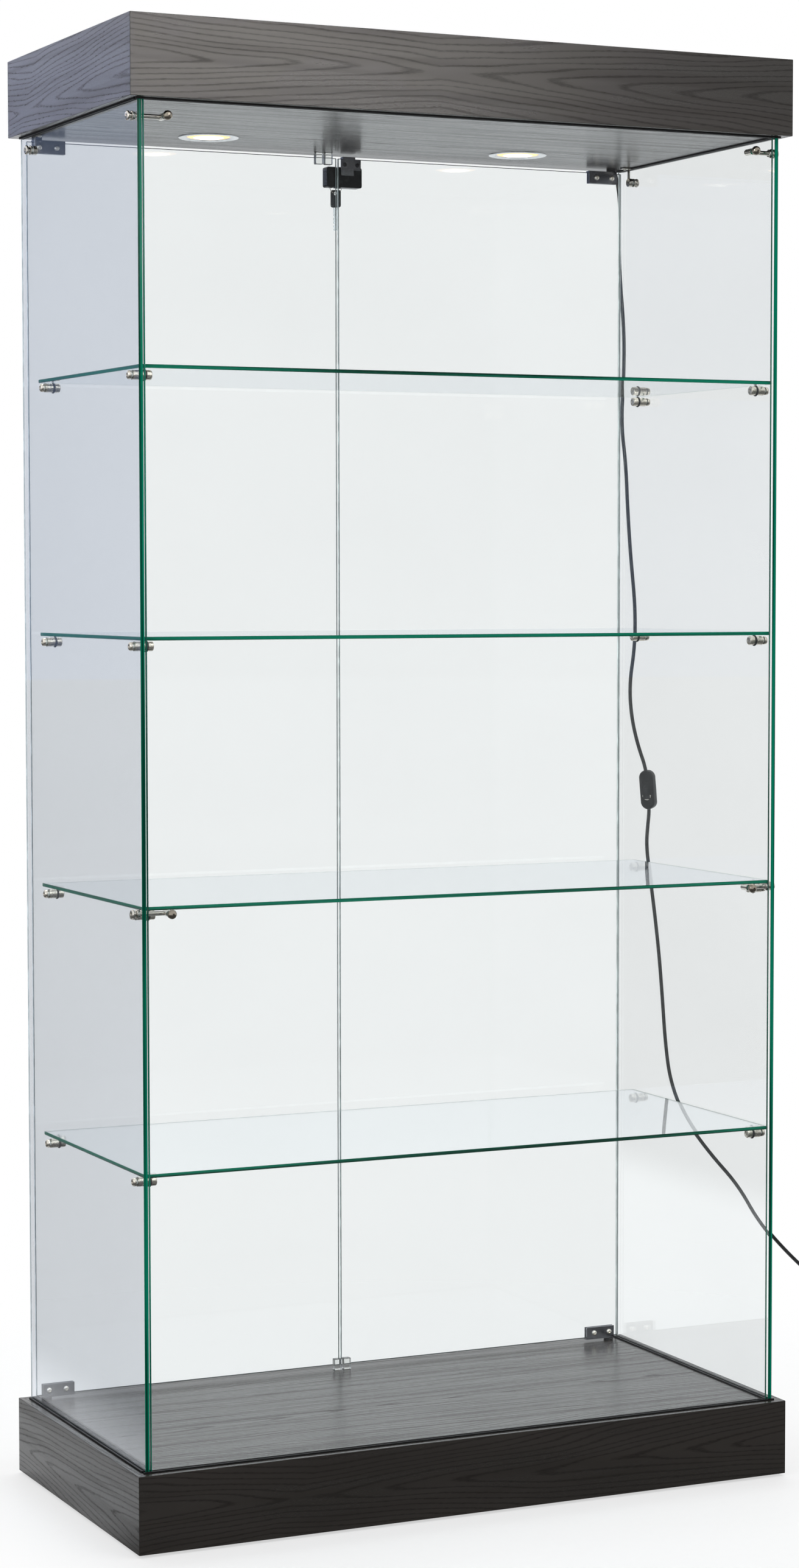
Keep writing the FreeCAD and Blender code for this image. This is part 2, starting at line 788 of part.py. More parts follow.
def connectors():
    """Corner bars that tie the front pane to the side panes, and hangers from the ceiling."""
    post_y = ("-bar_reach", "bar_post_tail")
    stud_y = ("-bar_reach - glass", "-bar_reach")
    bar = fuse(
        "bar",
        [
            rod("bar_rod", "bar_radius", ("0", "bar_length"), "0", "0", "facets"),
            rod("bar_side_stud", "stud_radius", ("-glass", "0"), "0", "0", "facets"),
            rod("bar_post", "bar_post_radius", "bar_length", post_y, "0", "facets"),
            rod("bar_front_stud", "stud_radius", "bar_length", stud_y, "0", "facets"),
        ],
    )
    waist = "spool_length / 2"
    spool = faceted(
        "spool",
        [
            ("spool_radius", "0"),
            ("spool_radius", "spool_rim"),
            ("spool_waist", "spool_rim + spool_slope"),
            ("spool_waist", waist),
            ("spool_radius", f"{waist} + spool_slope"),
            ("spool_radius", "spool_length - spool_rim"),
            ("spool_waist", "spool_length"),
        ],
    )
    ball_rings = [("ball_collar_radius", "0")]
    for angle in range(-50, 71, 30):
        ball_rings.append((f"ball_radius * cos({angle})", f"ball_stand + ball_radius * sin({angle})"))
    ball = faceted("ball", ball_rings)
    bars = []
    balls = []
    spools = []
    half_turn = FreeCAD.Rotation(V(0, 1, 0), 180)
    for z in (mm("connector_low"), mm("connector_top")):
        bars.append(at(-mm("pane_in_x"), mm("bar_y"), z))
        bars.append(at(mm("pane_in_x"), mm("bar_y"), z, half_turn))
        for side, turn in ((-1, "-x"), (1, "x")):
            balls.append(at(side * mm("stud_x"), mm("pane_front_y"), z, TURN["-y"]))
            spools.append(at(side * mm("pane_out_x"), mm("bar_y"), z, TURN[turn]))
    strap_x = ("-channel_lip - hanger_gap - hanger_strap", "-channel_lip - hanger_gap")
    half = "hanger_width / 2"
    hanger = fuse(
        "hanger",
        [
            rod("hanger_eye", "hanger_eye_radius", ("-hanger_eye_depth", "0"), "0", "0", "facets"),
            rod("hanger_stud", "stud_radius", ("0", "glass"), "0", "0", "facets"),
            block("hanger_strap_bar", strap_x, (f"-({half})", half), ("0", "connector_drop")),
            block(
                "hanger_foot_plate",
                (f"{strap_x[1]} - hanger_foot", strap_x[1]),
                ("-hanger_width", "hanger_width"),
                ("connector_drop - hanger_strap", "connector_drop"),
            ),
        ],
    )
    straps = []
    for side, turn, spin in ((-1, "-x", 180), (1, "x", 0)):
        top = mm("connector_top")
        straps.append(at(side * mm("pane_in_x"), mm("hanger_y"), top, FreeCAD.Rotation(V(0, 0, 1), spin)))
        spools.append(at(side * mm("pane_out_x"), mm("hanger_y"), top, TURN[turn]))
    keep("corner_connector_bars", copies("corner_bars", bar, bars))
    keep("corner_ball_heads", copies("ball_heads", ball, balls))
    keep("side_glass_heads", copies("side_heads", spool, spools))
    keep("rear_hanger_straps", copies("hanger_straps", hanger, straps))


def canopy():
    """The canopy's boards, ceiling and dust panel, with holes for lights, bushes and the gland."""
    boards = carcass("canopy", "ceiling_bottom", "canopy_height")
    wall = ("board_in_y", "half_depth")
    gland_hole = rod("gland_hole", "gland_radius", "gland_x", wall, "gland_z", "facets")
    boards["back"] = cut("canopy_back_drilled", boards["back"], [gland_hole])
    for side, board in boards.items():
        keep(f"canopy_{side}_board", board)
    outline = rectangle("-deck_edge_x", "deck_edge_x", "deck_front_y", "board_in_y")
    holes = [(x, "light_y", "light_hole_radius") for x in ("-light_x", "light_x")]
    blank = plate("ceiling_blank", "XY", outline, "panel", "ceiling_bottom", holes)
    keep("ceiling_panel", cut("ceiling", blank, bush_holes("ceiling", ("ceiling_bottom", "ceiling_top"))))
    outline = rectangle("-board_in_x", "board_in_x", "-board_in_y", "board_in_y")
    level = "case_height - top_panel_drop - top_panel"
    keep("canopy_dust_panel", plate("dust_panel", "XY", outline, "top_panel", level))


def downlights():
    """Two recessed downlights: trim ring, glowing lens and a can held by spring clips."""
    bore = "lens_radius + lens_play"
    trim = turned(
        "trim",
        [
            (bore, "-trim_drop"),
            ("trim_radius", "-trim_drop"),
            ("trim_radius", "0"),
            ("trim_collar_radius", "0"),
            ("trim_collar_radius", "trim_collar_height"),
            (bore, "trim_collar_height"),
        ],
    )
    lens = rod("lens", "lens_radius", "0", "0", ("0", "lens_thickness"))
    top = "trim_collar_height + can_height"
    cup = faceted(
        "can_cup",
        [
            ("can_radius", "trim_collar_height"),
            ("can_radius", top),
            ("can_neck_radius", f"{top} + can_neck_height"),
        ],
    )
    clip_y = ("-clip_width / 2", "clip_width / 2")
    clip_z = ("panel", "panel + clip_thickness")
    clips = [
        block("clip_left", ("-clip_reach", "clip_root - can_radius"), clip_y, clip_z),
        block("clip_right", ("can_radius - clip_root", "clip_reach"), clip_y, clip_z),
    ]
    can = fuse("can", [cup, *clips])
    spots = [at(side * mm("light_x"), mm("light_y"), mm("ceiling_bottom")) for side in (-1, 1)]
    keep("downlight_trims", copies("trims", trim, spots))
    keep("downlight_lenses", copies("lenses", lens, spots))
    keep("downlight_cans", copies("cans", can, spots))


def section(centre, heading, radius):
    """A regular polygon square to a heading, for a lead's section."""
    turn = FreeCAD.Rotation(V(0, 0, 1), heading)
    sides = round(mm("cord_facets"))
    spokes = [2 * math.pi * i / sides for i in range(sides + 1)]
    return Part.makePolygon([centre + turn.multVec(V(math.cos(a), math.sin(a), 0) * radius) for a in spokes])


def swept(edges, start, heading, radius, name):
    """A faceted lead along a path, with its volume told against section times length."""
    path = Part.Wire(edges)
    ring = section(start, heading, radius)
    solid = path.makePipeShell([ring], True, False)
    ideal = Part.Face(ring).Area * path.Length
    print(f"{name}: length {path.Length:.0f}, volume {solid.Volume / ideal:.4f} of section times length")
    return solid


def runs(points, name):
    """Straight runs between points, joined by the largest tangent arcs that the runs allow."""
    stations = [V(*p) for p in points]
    edges = []
    radii = []
    here = stations[0]
    for before, corner, after in zip(stations, stations[1:], stations[2:]):
        run_in = corner - before
        run_out = after - corner
        setback = ARC_SHARE * min(run_in.Length, run_out.Length)
        turn = run_in.getAngle(run_out)
        radii.append(setback / math.tan(turn / 2))
        first = corner - run_in.normalize() * setback
        last = corner + run_out.normalize() * setback
        chord = (first + last) / 2
        middle = chord + (corner - chord).normalize() * radii[-1] * (1 - math.cos(turn / 2))
        edges.append(Part.LineSegment(here, first).toShape())
        edges.append(Part.Arc(first, middle, last).toShape())
        here = last
    edges.append(Part.LineSegment(here, stations[-1]).toShape())
    print(f"{name}: bend radii {min(radii):.0f} to {max(radii):.0f}")
    return edges


def tube(points, radius, name):
    """A lead along hand-chosen points."""
    return swept(runs(points, name), V(*points[0]), V(*points[1]) - V(*points[0]), radius, name)


def feature(label, shape):
    """A sub-part whose shape Part's own functions made."""
    solid = doc.addObject("Part::Feature", label)
    solid.Shape = shape
    return keep(label, solid)


def electrics():
    """The transformer on the ceiling and the leads in the canopy."""
    half = "transformer_length / 2"
    low_y = "light_y - transformer_width / 2"
    outline = rectangle(f"-({half})", half, low_y, "light_y + transformer_width / 2")
    case = plate("transformer_case", "XY", outline, "transformer_height", "ceiling_top")
    keep("transformer", rounded(case, "transformer_fillet", lambda e: along(e, V(0, 0, 1))))
    z = mm("ceiling_top") + mm("lead_height")
    y = mm("light_y")
    end = mm("transformer_length") / 2
    quarter = (mm("light_x") - mm("can_radius") - end) / 4
    sag = mm("lead_sag")
    solids = []
    for side in (-1, 1):
        droop = [(0, 0), (0, 0), (-sag, -sag), (0, 0), (0, 0)]
        route = [(side * (end + i * quarter), y + dy, z + dz) for i, (dy, dz) in enumerate(droop)]
        solids.append(tube(route, mm("lead_radius"), f"lamp lead {len(solids) + 1}"))
    run = mm("lead_run")
    outlet = V(end, y + mm("lead_offset"), z)
    inlet = V(mm("gland_x"), mm("board_in_y"), mm("gland_z"))
    beside_can = V(mm("light_x"), y + mm("can_radius") + mm("lead_clear"), z)
    last = inlet - V(0, run, 0)
    span = last - beside_can
    route = [outlet, outlet + V(run, 0, 0), beside_can]
    for share, sags in ((0.35, 1), (0.7, 1.5)):
        route.append(beside_can + span * share + V(0, sags * sag, 0))
    solids.append(tube([*route, last, inlet], mm("cord_radius"), "mains lead in canopy"))
    feature("canopy_leads", Part.Compound(solids))


def gland():
    """A right-angled strain relief on the back board that turns the lead downwards."""
    wall_x = ("gland_x - gland_radius - boot_wall", "gland_x + gland_radius + boot_wall")
    bottom = "gland_z - gland_bend"
    wall_y = ("board_in_y", "half_depth")
    flange_y = ("half_depth", "half_depth + gland_flange")
    knuckle_y = ("half_depth", "cord_y + gland_radius + boot_wall")
    solids = [
        rod("gland_spigot", "gland_radius", "gland_x", wall_y, "gland_z", "facets"),
        rod("gland_collar", "gland_flange_radius", "gland_x", flange_y, "gland_z", "facets"),
        block("gland_knuckle", wall_x, knuckle_y, (bottom, "gland_z + gland_radius + boot_wall")),
        rod("gland_sleeve", "gland_sleeve_radius", "gland_x", "cord_y", ("gland_outlet", bottom), "facets"),
    ]
    keep("cord_gland", fuse("gland_body", solids))


def switch():
    """An in-line rocker switch: two stadium-shaped shells and the rocker on its trunnions."""
    turn = FreeCAD.Rotation(V(0, 1, 0), mm("switch_tilt")).multiply(
        FreeCAD.Rotation(V(0, 0, 1), mm("switch_turn"))
    )
    seat = at(mm("switch_x"), mm("cord_y"), mm("switch_z"), turn)

    def shell(name, y):
        half = "switch_width / 2"
        return fuse(
            name,
            [
                block(f"{name}_middle", (f"-{half}", half), y, ("-switch_end", "switch_end")),
                rod(f"{name}_upper", half, "0", y, "switch_end", "2 * facets"),
                rod(f"{name}_lower", half, "0", y, "-switch_end", "2 * facets"),
            ],
        )

    window_x = "rocker_width / 2 + rocker_play / 2"
    window_z = "rocker_length / 2 + rocker_play"
    front_y = ("-switch_front", "0")
    window = block("switch_window", (f"-({window_x})", window_x), front_y, (f"-({window_z})", window_z))
    reach = f"{window_x} + trunnion_length"
    socket = "trunnion_radius + trunnion_play"
    sockets = rod("switch_sockets", socket, (f"-({reach})", reach), "-rocker_pivot", "0")
    front = cut("switch_front_cut", shell("switch_front_blank", front_y), [window, sockets])
    back = shell("switch_back_blank", ("0", "switch_back"))
    half_x = "rocker_width / 2"
    half_z = "rocker_length / 2"
    proud_y = ("-switch_front - rocker_proud", "-rocker_inner")
    pin_x = f"{reach} - trunnion_end_gap"
    rocker = fuse(
        "rocker",
        [
            block("rocker_pad", (f"-{half_x}", half_x), proud_y, (f"-{half_z}", half_z)),
            rod("rocker_trunnions", "trunnion_radius", (f"-({pin_x})", pin_x), "-rocker_pivot", "0"),
        ],
    )
    keep("switch_front_shell", copies("switch_front_placed", front, [seat]))
    keep("switch_back_shell", copies("switch_back_placed", back, [seat]))
    pivot = V(0, -mm("rocker_pivot"), 0)
    tilt = FreeCAD.Placement(V(), FreeCAD.Rotation(V(1, 0, 0), -mm("rocker_tilt")), pivot)
    keep("switch_rocker", copies("rocker_placed", rocker, [seat.multiply(tilt)]))


def coil_point(turns):
    """A point of the put-away coil: it spirals in, climbs a layer where it reverses, and spirals out."""
    total = mm("coil_turns")
    radius = mm("coil_radius") - mm("coil_pitch") * min(turns, total - turns)
    climb = min(max((turns - total / 2) * 2 + 0.5, 0), 1)
    height = mm("coil_low") + mm("coil_layer") * (1 - math.cos(math.pi * climb)) / 2
    angle = math.pi - 2 * math.pi * turns
    return V(mm("coil_x") + radius * math.cos(angle), mm("coil_y") + radius * math.sin(angle), height)


def arc_from(start, heading, end):
    """The arc that leaves a point along a heading and reaches an end point."""
    chord = end - start
    along_chord = V(chord).normalize()
    side = heading - along_chord * heading.dot(along_chord)
    bulge = chord.Length / 2 * math.tan(heading.getAngle(chord) / 2)
    return Part.Arc(start, start + chord / 2 + side.normalize() * bulge, end)


def biarc(start, heading, end, end_heading):
    """Two tangent arcs between two points with a heading at each."""
    chord = end - start
    both = heading + end_heading
    a = both.dot(both) - 4
    b = chord.dot(both)
    reach = (b - math.sqrt(b * b - a * chord.dot(chord))) / a
    middle = (start + heading * reach + end - end_heading * reach) / 2
    back_arc = arc_from(end, -end_heading, middle)
    half = (back_arc.FirstParameter + back_arc.LastParameter) / 2
    return [arc_from(start, heading, middle), Part.Arc(middle, back_arc.value(half), end)]


def coil(landing):
    """The put-away length of the lead as one unbroken tube: landing, loops and a short tail."""
    steps = round(mm("coil_turns") * 4)
    stations = [coil_point(i / 4) for i in range(steps + 1)]
    headings = []
    for i in range(steps + 1):
        low = max(i / 4 - 0.01, 0)
        high = min(i / 4 + 0.01, mm("coil_turns"))
        headings.append((coil_point(high) - coil_point(low)).normalize())
    headings[0] = V(0, 1, 0)
    headings[-1] = V(0, -1, 0)
    edges = runs(landing, "cord_coil landing")
    for i in range(steps):
        edges += [a.toShape() for a in biarc(stations[i], headings[i], stations[i + 1], headings[i + 1])]
    tail_end = stations[-1] + headings[-1] * mm("tail_length")
    edges.append(Part.LineSegment(stations[-1], tail_end).toShape())
    samples = [coil_point(i / 60) for i in range(round(mm("coil_turns") * 60) + 1)]
    gaps = [
        samples[i].distanceToPoint(samples[j]) - 2 * mm("cord_radius")
        for i in range(len(samples))
        for j in range(i + 20, len(samples))
    ]
    print(f"cord_coil: least gap {min(gaps):.2f}")
    heading = V(*landing[1]) - V(*landing[0])
    feature("cord_coil", swept(edges, V(*landing[0]), heading, mm("cord_radius"), "cord_coil"))
    return tail_end


def coil_tie():
    """A flat tie round the coil's strands, on the side where the coil reverses."""
    spread = mm("coil_pitch") * (mm("coil_turns") / 2 - 0.25)
    far = mm("coil_y") + mm("coil_radius") - mm("coil_pitch") / 4 + mm("cord_radius") + mm("tie_play")
    near = far - spread - 2 * mm("cord_radius") - 2 * mm("tie_play")
    low = mm("coil_lift") - mm("tie_play")
    high = mm("coil_high") + mm("cord_radius") + mm("tie_play")
    wall = mm("tie_wall")
    width = mm("tie_width")
    left = mm("coil_x") - width / 2
    corner = V(left, near - wall, low - wall)
    outer = Part.makeBox(width, far - near + 2 * wall, high - low + 2 * wall, corner)
    inner = Part.makeBox(width, far - near, high - low, V(left, near, low))
    feature("coil_tie", outer.cut(inner))


def mains_plug(tail_end):
    """The two-blade plug beside the coil, lying on the floor with its blades to the front."""
    x = tail_end.x
    z = mm("plug_thickness") / 2
    boot_end = tail_end.y - mm("plug_boot_length")
    front = boot_end - mm("plug_length")
    neck = section(V(x, tail_end.y, z), V(0, -1, 0), mm("plug_boot_radius"))
    boot = Part.Face(neck).extrude(V(0, -mm("plug_boot_length"), 0))
    half = mm("plug_width") / 2
    bevel = mm("plug_bevel")
    corners = [(half - bevel, z), (half, z - bevel), (half, bevel - z), (half - bevel, -z)]
    corners += [(-i, -j) for i, j in corners]
    outline = [V(x + i, boot_end, z + j) for i, j in corners]
    body = Part.Face(Part.makePolygon(outline + outline[:1])).extrude(V(0, -mm("plug_length"), 0))
    feature("plug_body", body.fuse(boot))
    blades = []
    for side in (-1, 1):
        left = x + side * mm("blade_spacing") / 2 - mm("blade_thickness") / 2
        corner = V(left, front - mm("blade_length"), z - mm("blade_width") / 2)
        blades.append(Part.makeBox(mm("blade_thickness"), mm("blade_length"), mm("blade_width"), corner))
    feature("plug_blades", Part.Compound(blades))


def mains_lead():
    """The free lead from the gland through the switch to the coil and plug."""
    gland()
    x = mm("gland_x")
    y = mm("half_depth")
    top = mm("gland_outlet")
    stretch = (top - mm("switch_z") - mm("switch_entry")) / UPPER_ROUTE[-1][2]
    upper = [(x + dx, y + dy, top - drop * stretch) for dx, dy, drop in UPPER_ROUTE]
    feature("cord_upper", tube(upper, mm("cord_radius"), "cord_upper"))
    switch()
    lower = [(x + dx, y + dy, z) for dx, dy, z in LOWER_ROUTE]
    feature("cord_lower", tube(lower, mm("cord_radius"), "cord_lower"))
    tail_end = coil([(x + dx, y + dy, z) for dx, dy, z in LANDING_ROUTE])
    coil_tie()
    mains_plug(tail_end)


def doors():
    """Two glass doors, their clamp hinges with pivot pins, clamp screws, bushes and stops."""
    door_z = ("door_bottom", "door_top")
    door_y = ("door_in_y", "door_out_y")
    keep("left_door_glass", block("left_door", ("-door_end_x", "-door_meet_x"), door_y, door_z))
    keep("right_door_glass", block("right_door", ("door_meet_x", "door_end_x"), door_y, door_z))
    clamp_x = ("clamp_overhang - clamp_length", "clamp_overhang")
    slot_y = "door_glass / 2 + clamp_play"
    body = block("clamp_body", clamp_x, ("-clamp_half", "clamp_half"), ("0", "clamp_height"))
    slot = block("clamp_slot", clamp_x, (f"-({slot_y})", slot_y), ("clamp_wall", "clamp_height"))
    pin = rod("clamp_pin", "pivot_radius", "0", "0", ("-pivot_length", "0"))
    clamp = fuse("clamp", [cut("clamp_shell", body, [slot]), pin])
    first_x = "clamp_overhang - screw_edge"
    head_y = ("-clamp_half - screw_head_height", "-clamp_half")
    heads = [
        rod(f"clamp_screw_{i}", "screw_head_radius", x, head_y, "clamp_height - screw_edge", "facets")
        for i, x in enumerate((first_x, f"{first_x} - screw_spacing"))
    ]
    screws = group("clamp_screws", heads)
    bush_top = "pivot_gap - thrust_play"
    spigot = rod("bush_spigot", "bush_radius", "0", "0", ("-bush_depth", "0"), "facets")
    flange = rod("bush_collar", "bush_flange", "0", "0", ("0", bush_top), "facets")
    bore = rod("bush_bore", "pivot_radius + pivot_play", "0", "0", ("-bush_depth", bush_top))
    bush = cut("bush", fuse("bush_blank", [spigot, flange]), [bore])
    y = mm("door_mid_y")
    x = mm("pivot_x")
    low = mm("clamp_low")
    high = mm("clamp_high")
    flip = FreeCAD.Rotation(V(0, 1, 0), 180)
    other_clamp = mirrored("clamp_mirrored", clamp)
    other_screws = mirrored("clamp_screws_mirrored", screws)
    hinge_sets = {
        "right": (clamp, screws, at(x, y, low), other_clamp, other_screws, at(x, y, high, flip)),
        "left": (other_clamp, other_screws, at(-x, y, low), clamp, screws, at(-x, y, high, flip)),
    }
    hinge_screws = {}
    for side, (lower, lower_screws, foot, upper, upper_screws, head) in hinge_sets.items():
        pair = [copies(f"{side}_low_clamp", lower, [foot]), copies(f"{side}_high_clamp", upper, [head])]
        keep(f"{side}_hinge_clamps", group(f"{side}_clamps", pair))
        hinge_screws[side] = [
            copies(f"{side}_low_screws", lower_screws, [foot]),
            copies(f"{side}_high_screws", upper_screws, [head]),
        ]
    keep("left_door_screws", group("left_screws", hinge_screws["left"]))
    spots = [at(side * x, y, mm("deck_top")) for side in (-1, 1)]
    spots += [at(side * x, y, mm("ceiling_bottom"), TURN["-z"]) for side in (-1, 1)]
    keep("pivot_bushes", copies("bushes", bush, spots))
    stop_y = ("door_in_y - stop_touch - stop_depth", "door_in_y - stop_touch")
    stops = []
    low_z = ("deck_top", "deck_top + stop_height")
    high_z = ("ceiling_bottom - stop_height", "ceiling_bottom")
    for name, middle, z in (("low", "0", low_z), ("high", "-top_stop_offset", high_z)):
        left = (f"{middle} - stop_split / 2 - stop_width", f"{middle} - stop_split / 2")
        right = (f"{middle} + stop_split / 2", f"{middle} + stop_split / 2 + stop_width")
        stops.append(block(f"stop_{name}_left", left, stop_y, z))
        stops.append(block(f"stop_{name}_right", right, stop_y, z))
    keep("door_stops", group("stops", stops))
    return hinge_screws["right"]


def lock(right_hinge_screws):
    """The clamp-on lock: case, plug with its cam pin, sliding bolt, keeper, keys and ring."""
    tab_x = ("lock_web_left", "lock_web_left + lock_web_width")
    web_top = "door_top + clamp_play + lock_clamp_wall"
    inner_y = ("door_in_y - clamp_play - lock_clamp_wall", "door_in_y - clamp_play")
    tab_y = ("lock_face_y", "lock_face_y + lock_clamp_wall")
    tab_z = ("door_top - lock_tab_height", web_top)
    plate_x = ("lock_clamp_left", "lock_clamp_left + lock_clamp_width")
    plate_z = ("door_top - lock_clamp_drop - lock_clamp_height", "door_top - lock_clamp_drop")
    screw_z = "door_top - lock_clamp_drop - lock_clamp_height / 2"
    screw_x = ("lock_clamp_left + lock_screw_inset", f"{plate_x[1]} - lock_screw_inset")
    screw_y = (f"{inner_y[0]} - lock_screw_head", inner_y[0])
    inner_plate = block("lock_inner_plate", plate_x, inner_y, plate_z)
    strip = block("lock_inner_strip", tab_x, inner_y, (plate_z[0], web_top))
    web = block("lock_web", tab_x, (inner_y[0], tab_y[1]), ("door_top + clamp_play", web_top))
    tab = block("lock_tab", tab_x, tab_y, tab_z)
    keep("lock_clamp", fuse("lock_clamp_bent", [inner_plate, strip, web, tab]))
    heads = [
        rod(f"lock_screw_{i}", "lock_screw_radius", x, screw_y, screw_z, "facets")
        for i, x in enumerate(screw_x)
    ]
    keep("right_door_screws", group("right_screws", right_hinge_screws + heads))

    outline = rectangle("lock_left", "lock_right", "lock_low", "lock_high")
    blank = plate("lock_blank", "XZ", outline, "lock_depth", "lock_face_y")
    half = mm("lock_left") + mm("lock_width") / 2
    blank = rounded(blank, "lock_fillet", lambda e: along(e, V(0, 1, 0)) and e.CenterOfMass.x > half)
    recess = block("lock_recess", tab_x, ("lock_face_y", tab_y[1]), (tab_z[0], "lock_high"))
    bolt_z = ("plug_z - bolt_height / 2", "plug_z + bolt_height / 2")
    raceway = block(
        "lock_raceway",
        ("lock_left", "bolt_left + bolt_length + bolt_play"),
        ("bolt_front_y - bolt_play", "plug_front_y"),
        (f"{bolt_z[0]} - bolt_play", f"{bolt_z[1]} + bolt_play"),
    )
    bore_y = ("plug_front_y", "lock_rear_y")
    bore = rod("lock_bore", "plug_radius + plug_play", "plug_axis_x", bore_y, "plug_z")
    relief_y = ("bolt_front_y - bolt_play", "plug_front_y")
    relief = rod("lock_relief", "cam_sweep + cam_pin_play", "plug_axis_x", relief_y, "plug_z", "2 * facets")
    keep("lock_case", cut("lock_case_cut", blank, [recess, raceway, bore, relief]))

    cam_x = "plug_axis_x + cam_reach"
    cam_z = "plug_z - cam_reach"
    bolt_y = ("bolt_front_y", "bolt_rear_y")
    bar = block("bolt_bar", ("bolt_left", "bolt_left + bolt_length"), bolt_y, bolt_z)
    cam_slot = block(
        "bolt_cam_slot",
        (f"{cam_x} - cam_pin_radius - cam_pin_play", f"{cam_x} + cam_pin_radius + cam_pin_play"),
        bolt_y,
        (bolt_z[0], f"{cam_z} + cam_pin_radius + cam_slot_end"),
    )
    keep("lock_bolt", cut("bolt_cut", bar, [cam_slot]))

    blade_x = ("plug_axis_x - key_thickness / 2", "plug_axis_x + key_thickness / 2")
    blade_y = ("key_rear_y - key_blade_depth", "key_rear_y")
    blade_z = ("plug_z - key_blade_width / 2", "plug_z + key_blade_width / 2")
    rim_y = ("lock_rear_y + plug_end_play", "key_rear_y")
    cam_y = ("bolt_front_y + cam_pin_gap", "plug_front_y")
    core = fuse(
        "plug_core",
        [
            rod("plug_barrel", "plug_radius", "plug_axis_x", ("plug_front_y", "key_rear_y"), "plug_z"),
            rod("plug_rim", "plug_flange_radius", "plug_axis_x", rim_y, "plug_z", "2 * facets"),
            rod("plug_cam_pin", "cam_pin_radius", cam_x, cam_y, cam_z, "facets"),
        ],
    )
    keyway = block("plug_keyway", blade_x, blade_y, blade_z)
    keep("lock_plug", cut("plug_cut", core, [keyway]))
    bow_y = "key_rear_y + key_bow_reach"
    key_blank = fuse(
        "key_blank",
        [
            block("key_blade", blade_x, (blade_y[0], bow_y), blade_z),
            rod("key_bow", "key_bow_radius", blade_x, bow_y, "plug_z", "2 * facets"),
        ],
    )
    key_hole = rod("key_hole", "key_hole_radius", blade_x, "ring_y", "plug_z")
    keep("key", cut("key_cut", key_blank, [key_hole]))

    wire_y = ("ring_y - ring_wire", "ring_y + ring_wire")
    disc = rod("ring_disc", "ring_radius + ring_wire", "plug_axis_x", wire_y, "ring_z", "2 * facets")
    eye = rod("ring_eye", "ring_radius - ring_wire", "plug_axis_x", wire_y, "ring_z", "2 * facets")
    keep("key_ring", cut("ring_cut", disc, [eye]))
    half_head = "spare_head_width / 2"
    thick = ("-spare_head_thickness / 2", "spare_head_thickness / 2")
    head_end = "spare_hole_inset - spare_head_length"
    head = block("spare_head", thick, (f"-{half_head}", half_head), (head_end, "spare_hole_inset"))
    blade = block(
        "spare_blade",
        ("-key_thickness / 2", "key_thickness / 2"),
        ("-key_blade_width / 2", "key_blade_width / 2"),
        (f"{head_end} - spare_blade_length", head_end),
    )
    hole = rod("spare_hole", "spare_hole_radius", thick, "0", "0", "facets")
    spare = cut("spare_blank", fuse("spare_solid", [head, blade]), [hole])
    turn = FreeCAD.Rotation(V(0, 0, 1), mm("spare_turn"))
    hang = at(mm("plug_axis_x"), mm("ring_y"), mm("spare_hole_z"), turn)
    keep("spare_key", copies("spare_placed", spare, [hang]))

    keeper_x = ("-door_meet_x - keeper_width", "-door_meet_x")
    slot_x = ("keeper_end_wall - door_meet_x - keeper_width", "-door_meet_x")
    slot_y = ("lock_face_y + keeper_base", "lock_face_y + keeper_base + keeper_slot")
    outline = rectangle(*keeper_x, "lock_low", "lock_high")
    keeper = plate("keeper_blank", "XZ", outline, "lock_depth", "lock_face_y")
    far = -mm("keeper_width")
    keeper = rounded(keeper, "lock_fillet", lambda e: along(e, V(0, 1, 0)) and e.CenterOfMass.x < far)
    slot = block("keeper_gap", slot_x, slot_y, ("lock_low", "lock_high"))
    keep("lock_keeper", cut("keeper_cut", keeper, [slot]))


plinth()
battens()
channels("base", "deck_bottom", "pane_bottom", "deck_top + lip_proud")
channels("top", "ceiling_top", "pane_seat", "ceiling_bottom - lip_proud")
fixed_glass()
shelves()
connectors()
canopy()
downlights()
electrics()
mains_lead()
lock(doors())
doc.recompute()

for thing in doc.Objects:
    if {"Invalid", "Error"} & set(thing.State):
        raise RuntimeError(f"{thing.Name} failed: {thing.State}")
for label, thing in nodes.items():
    shape = thing.Shape
    if shape.isNull() or not shape.isValid() or not shape.Solids:
        raise RuntimeError(f"{label} has no valid solid")

os.makedirs("parts", exist_ok=True)
for label, thing in nodes.items():
    thing.Shape.exportStep(f"parts/{label}.step")
print(f"{len(nodes)} sub-parts written")
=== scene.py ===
"""Finishes of a glass display case: laminate, glass, hardware, lights and the mains lead."""
import json
import math

import bmesh
import bpy
from bpy.props import FloatProperty, FloatVectorProperty, IntProperty, PointerProperty
from mathutils import Matrix, Vector


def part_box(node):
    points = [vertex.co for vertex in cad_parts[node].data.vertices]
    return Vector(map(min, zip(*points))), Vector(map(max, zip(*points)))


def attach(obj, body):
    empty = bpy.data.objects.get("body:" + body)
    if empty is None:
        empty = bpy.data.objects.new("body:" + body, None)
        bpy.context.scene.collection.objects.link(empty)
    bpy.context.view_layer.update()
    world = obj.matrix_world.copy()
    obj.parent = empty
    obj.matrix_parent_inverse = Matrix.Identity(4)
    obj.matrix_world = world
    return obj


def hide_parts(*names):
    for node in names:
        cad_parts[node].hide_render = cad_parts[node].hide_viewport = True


bl_info = {
    "name": "Glass display case",
    "version": (1, 0, 0),
    "blender": (4, 5, 0),
    "location": "3D View > Sidebar > Case",
    "description": "Finishes a packed display case: laminate, glass, hardware, lights and lead",
    "category": "Object",
}

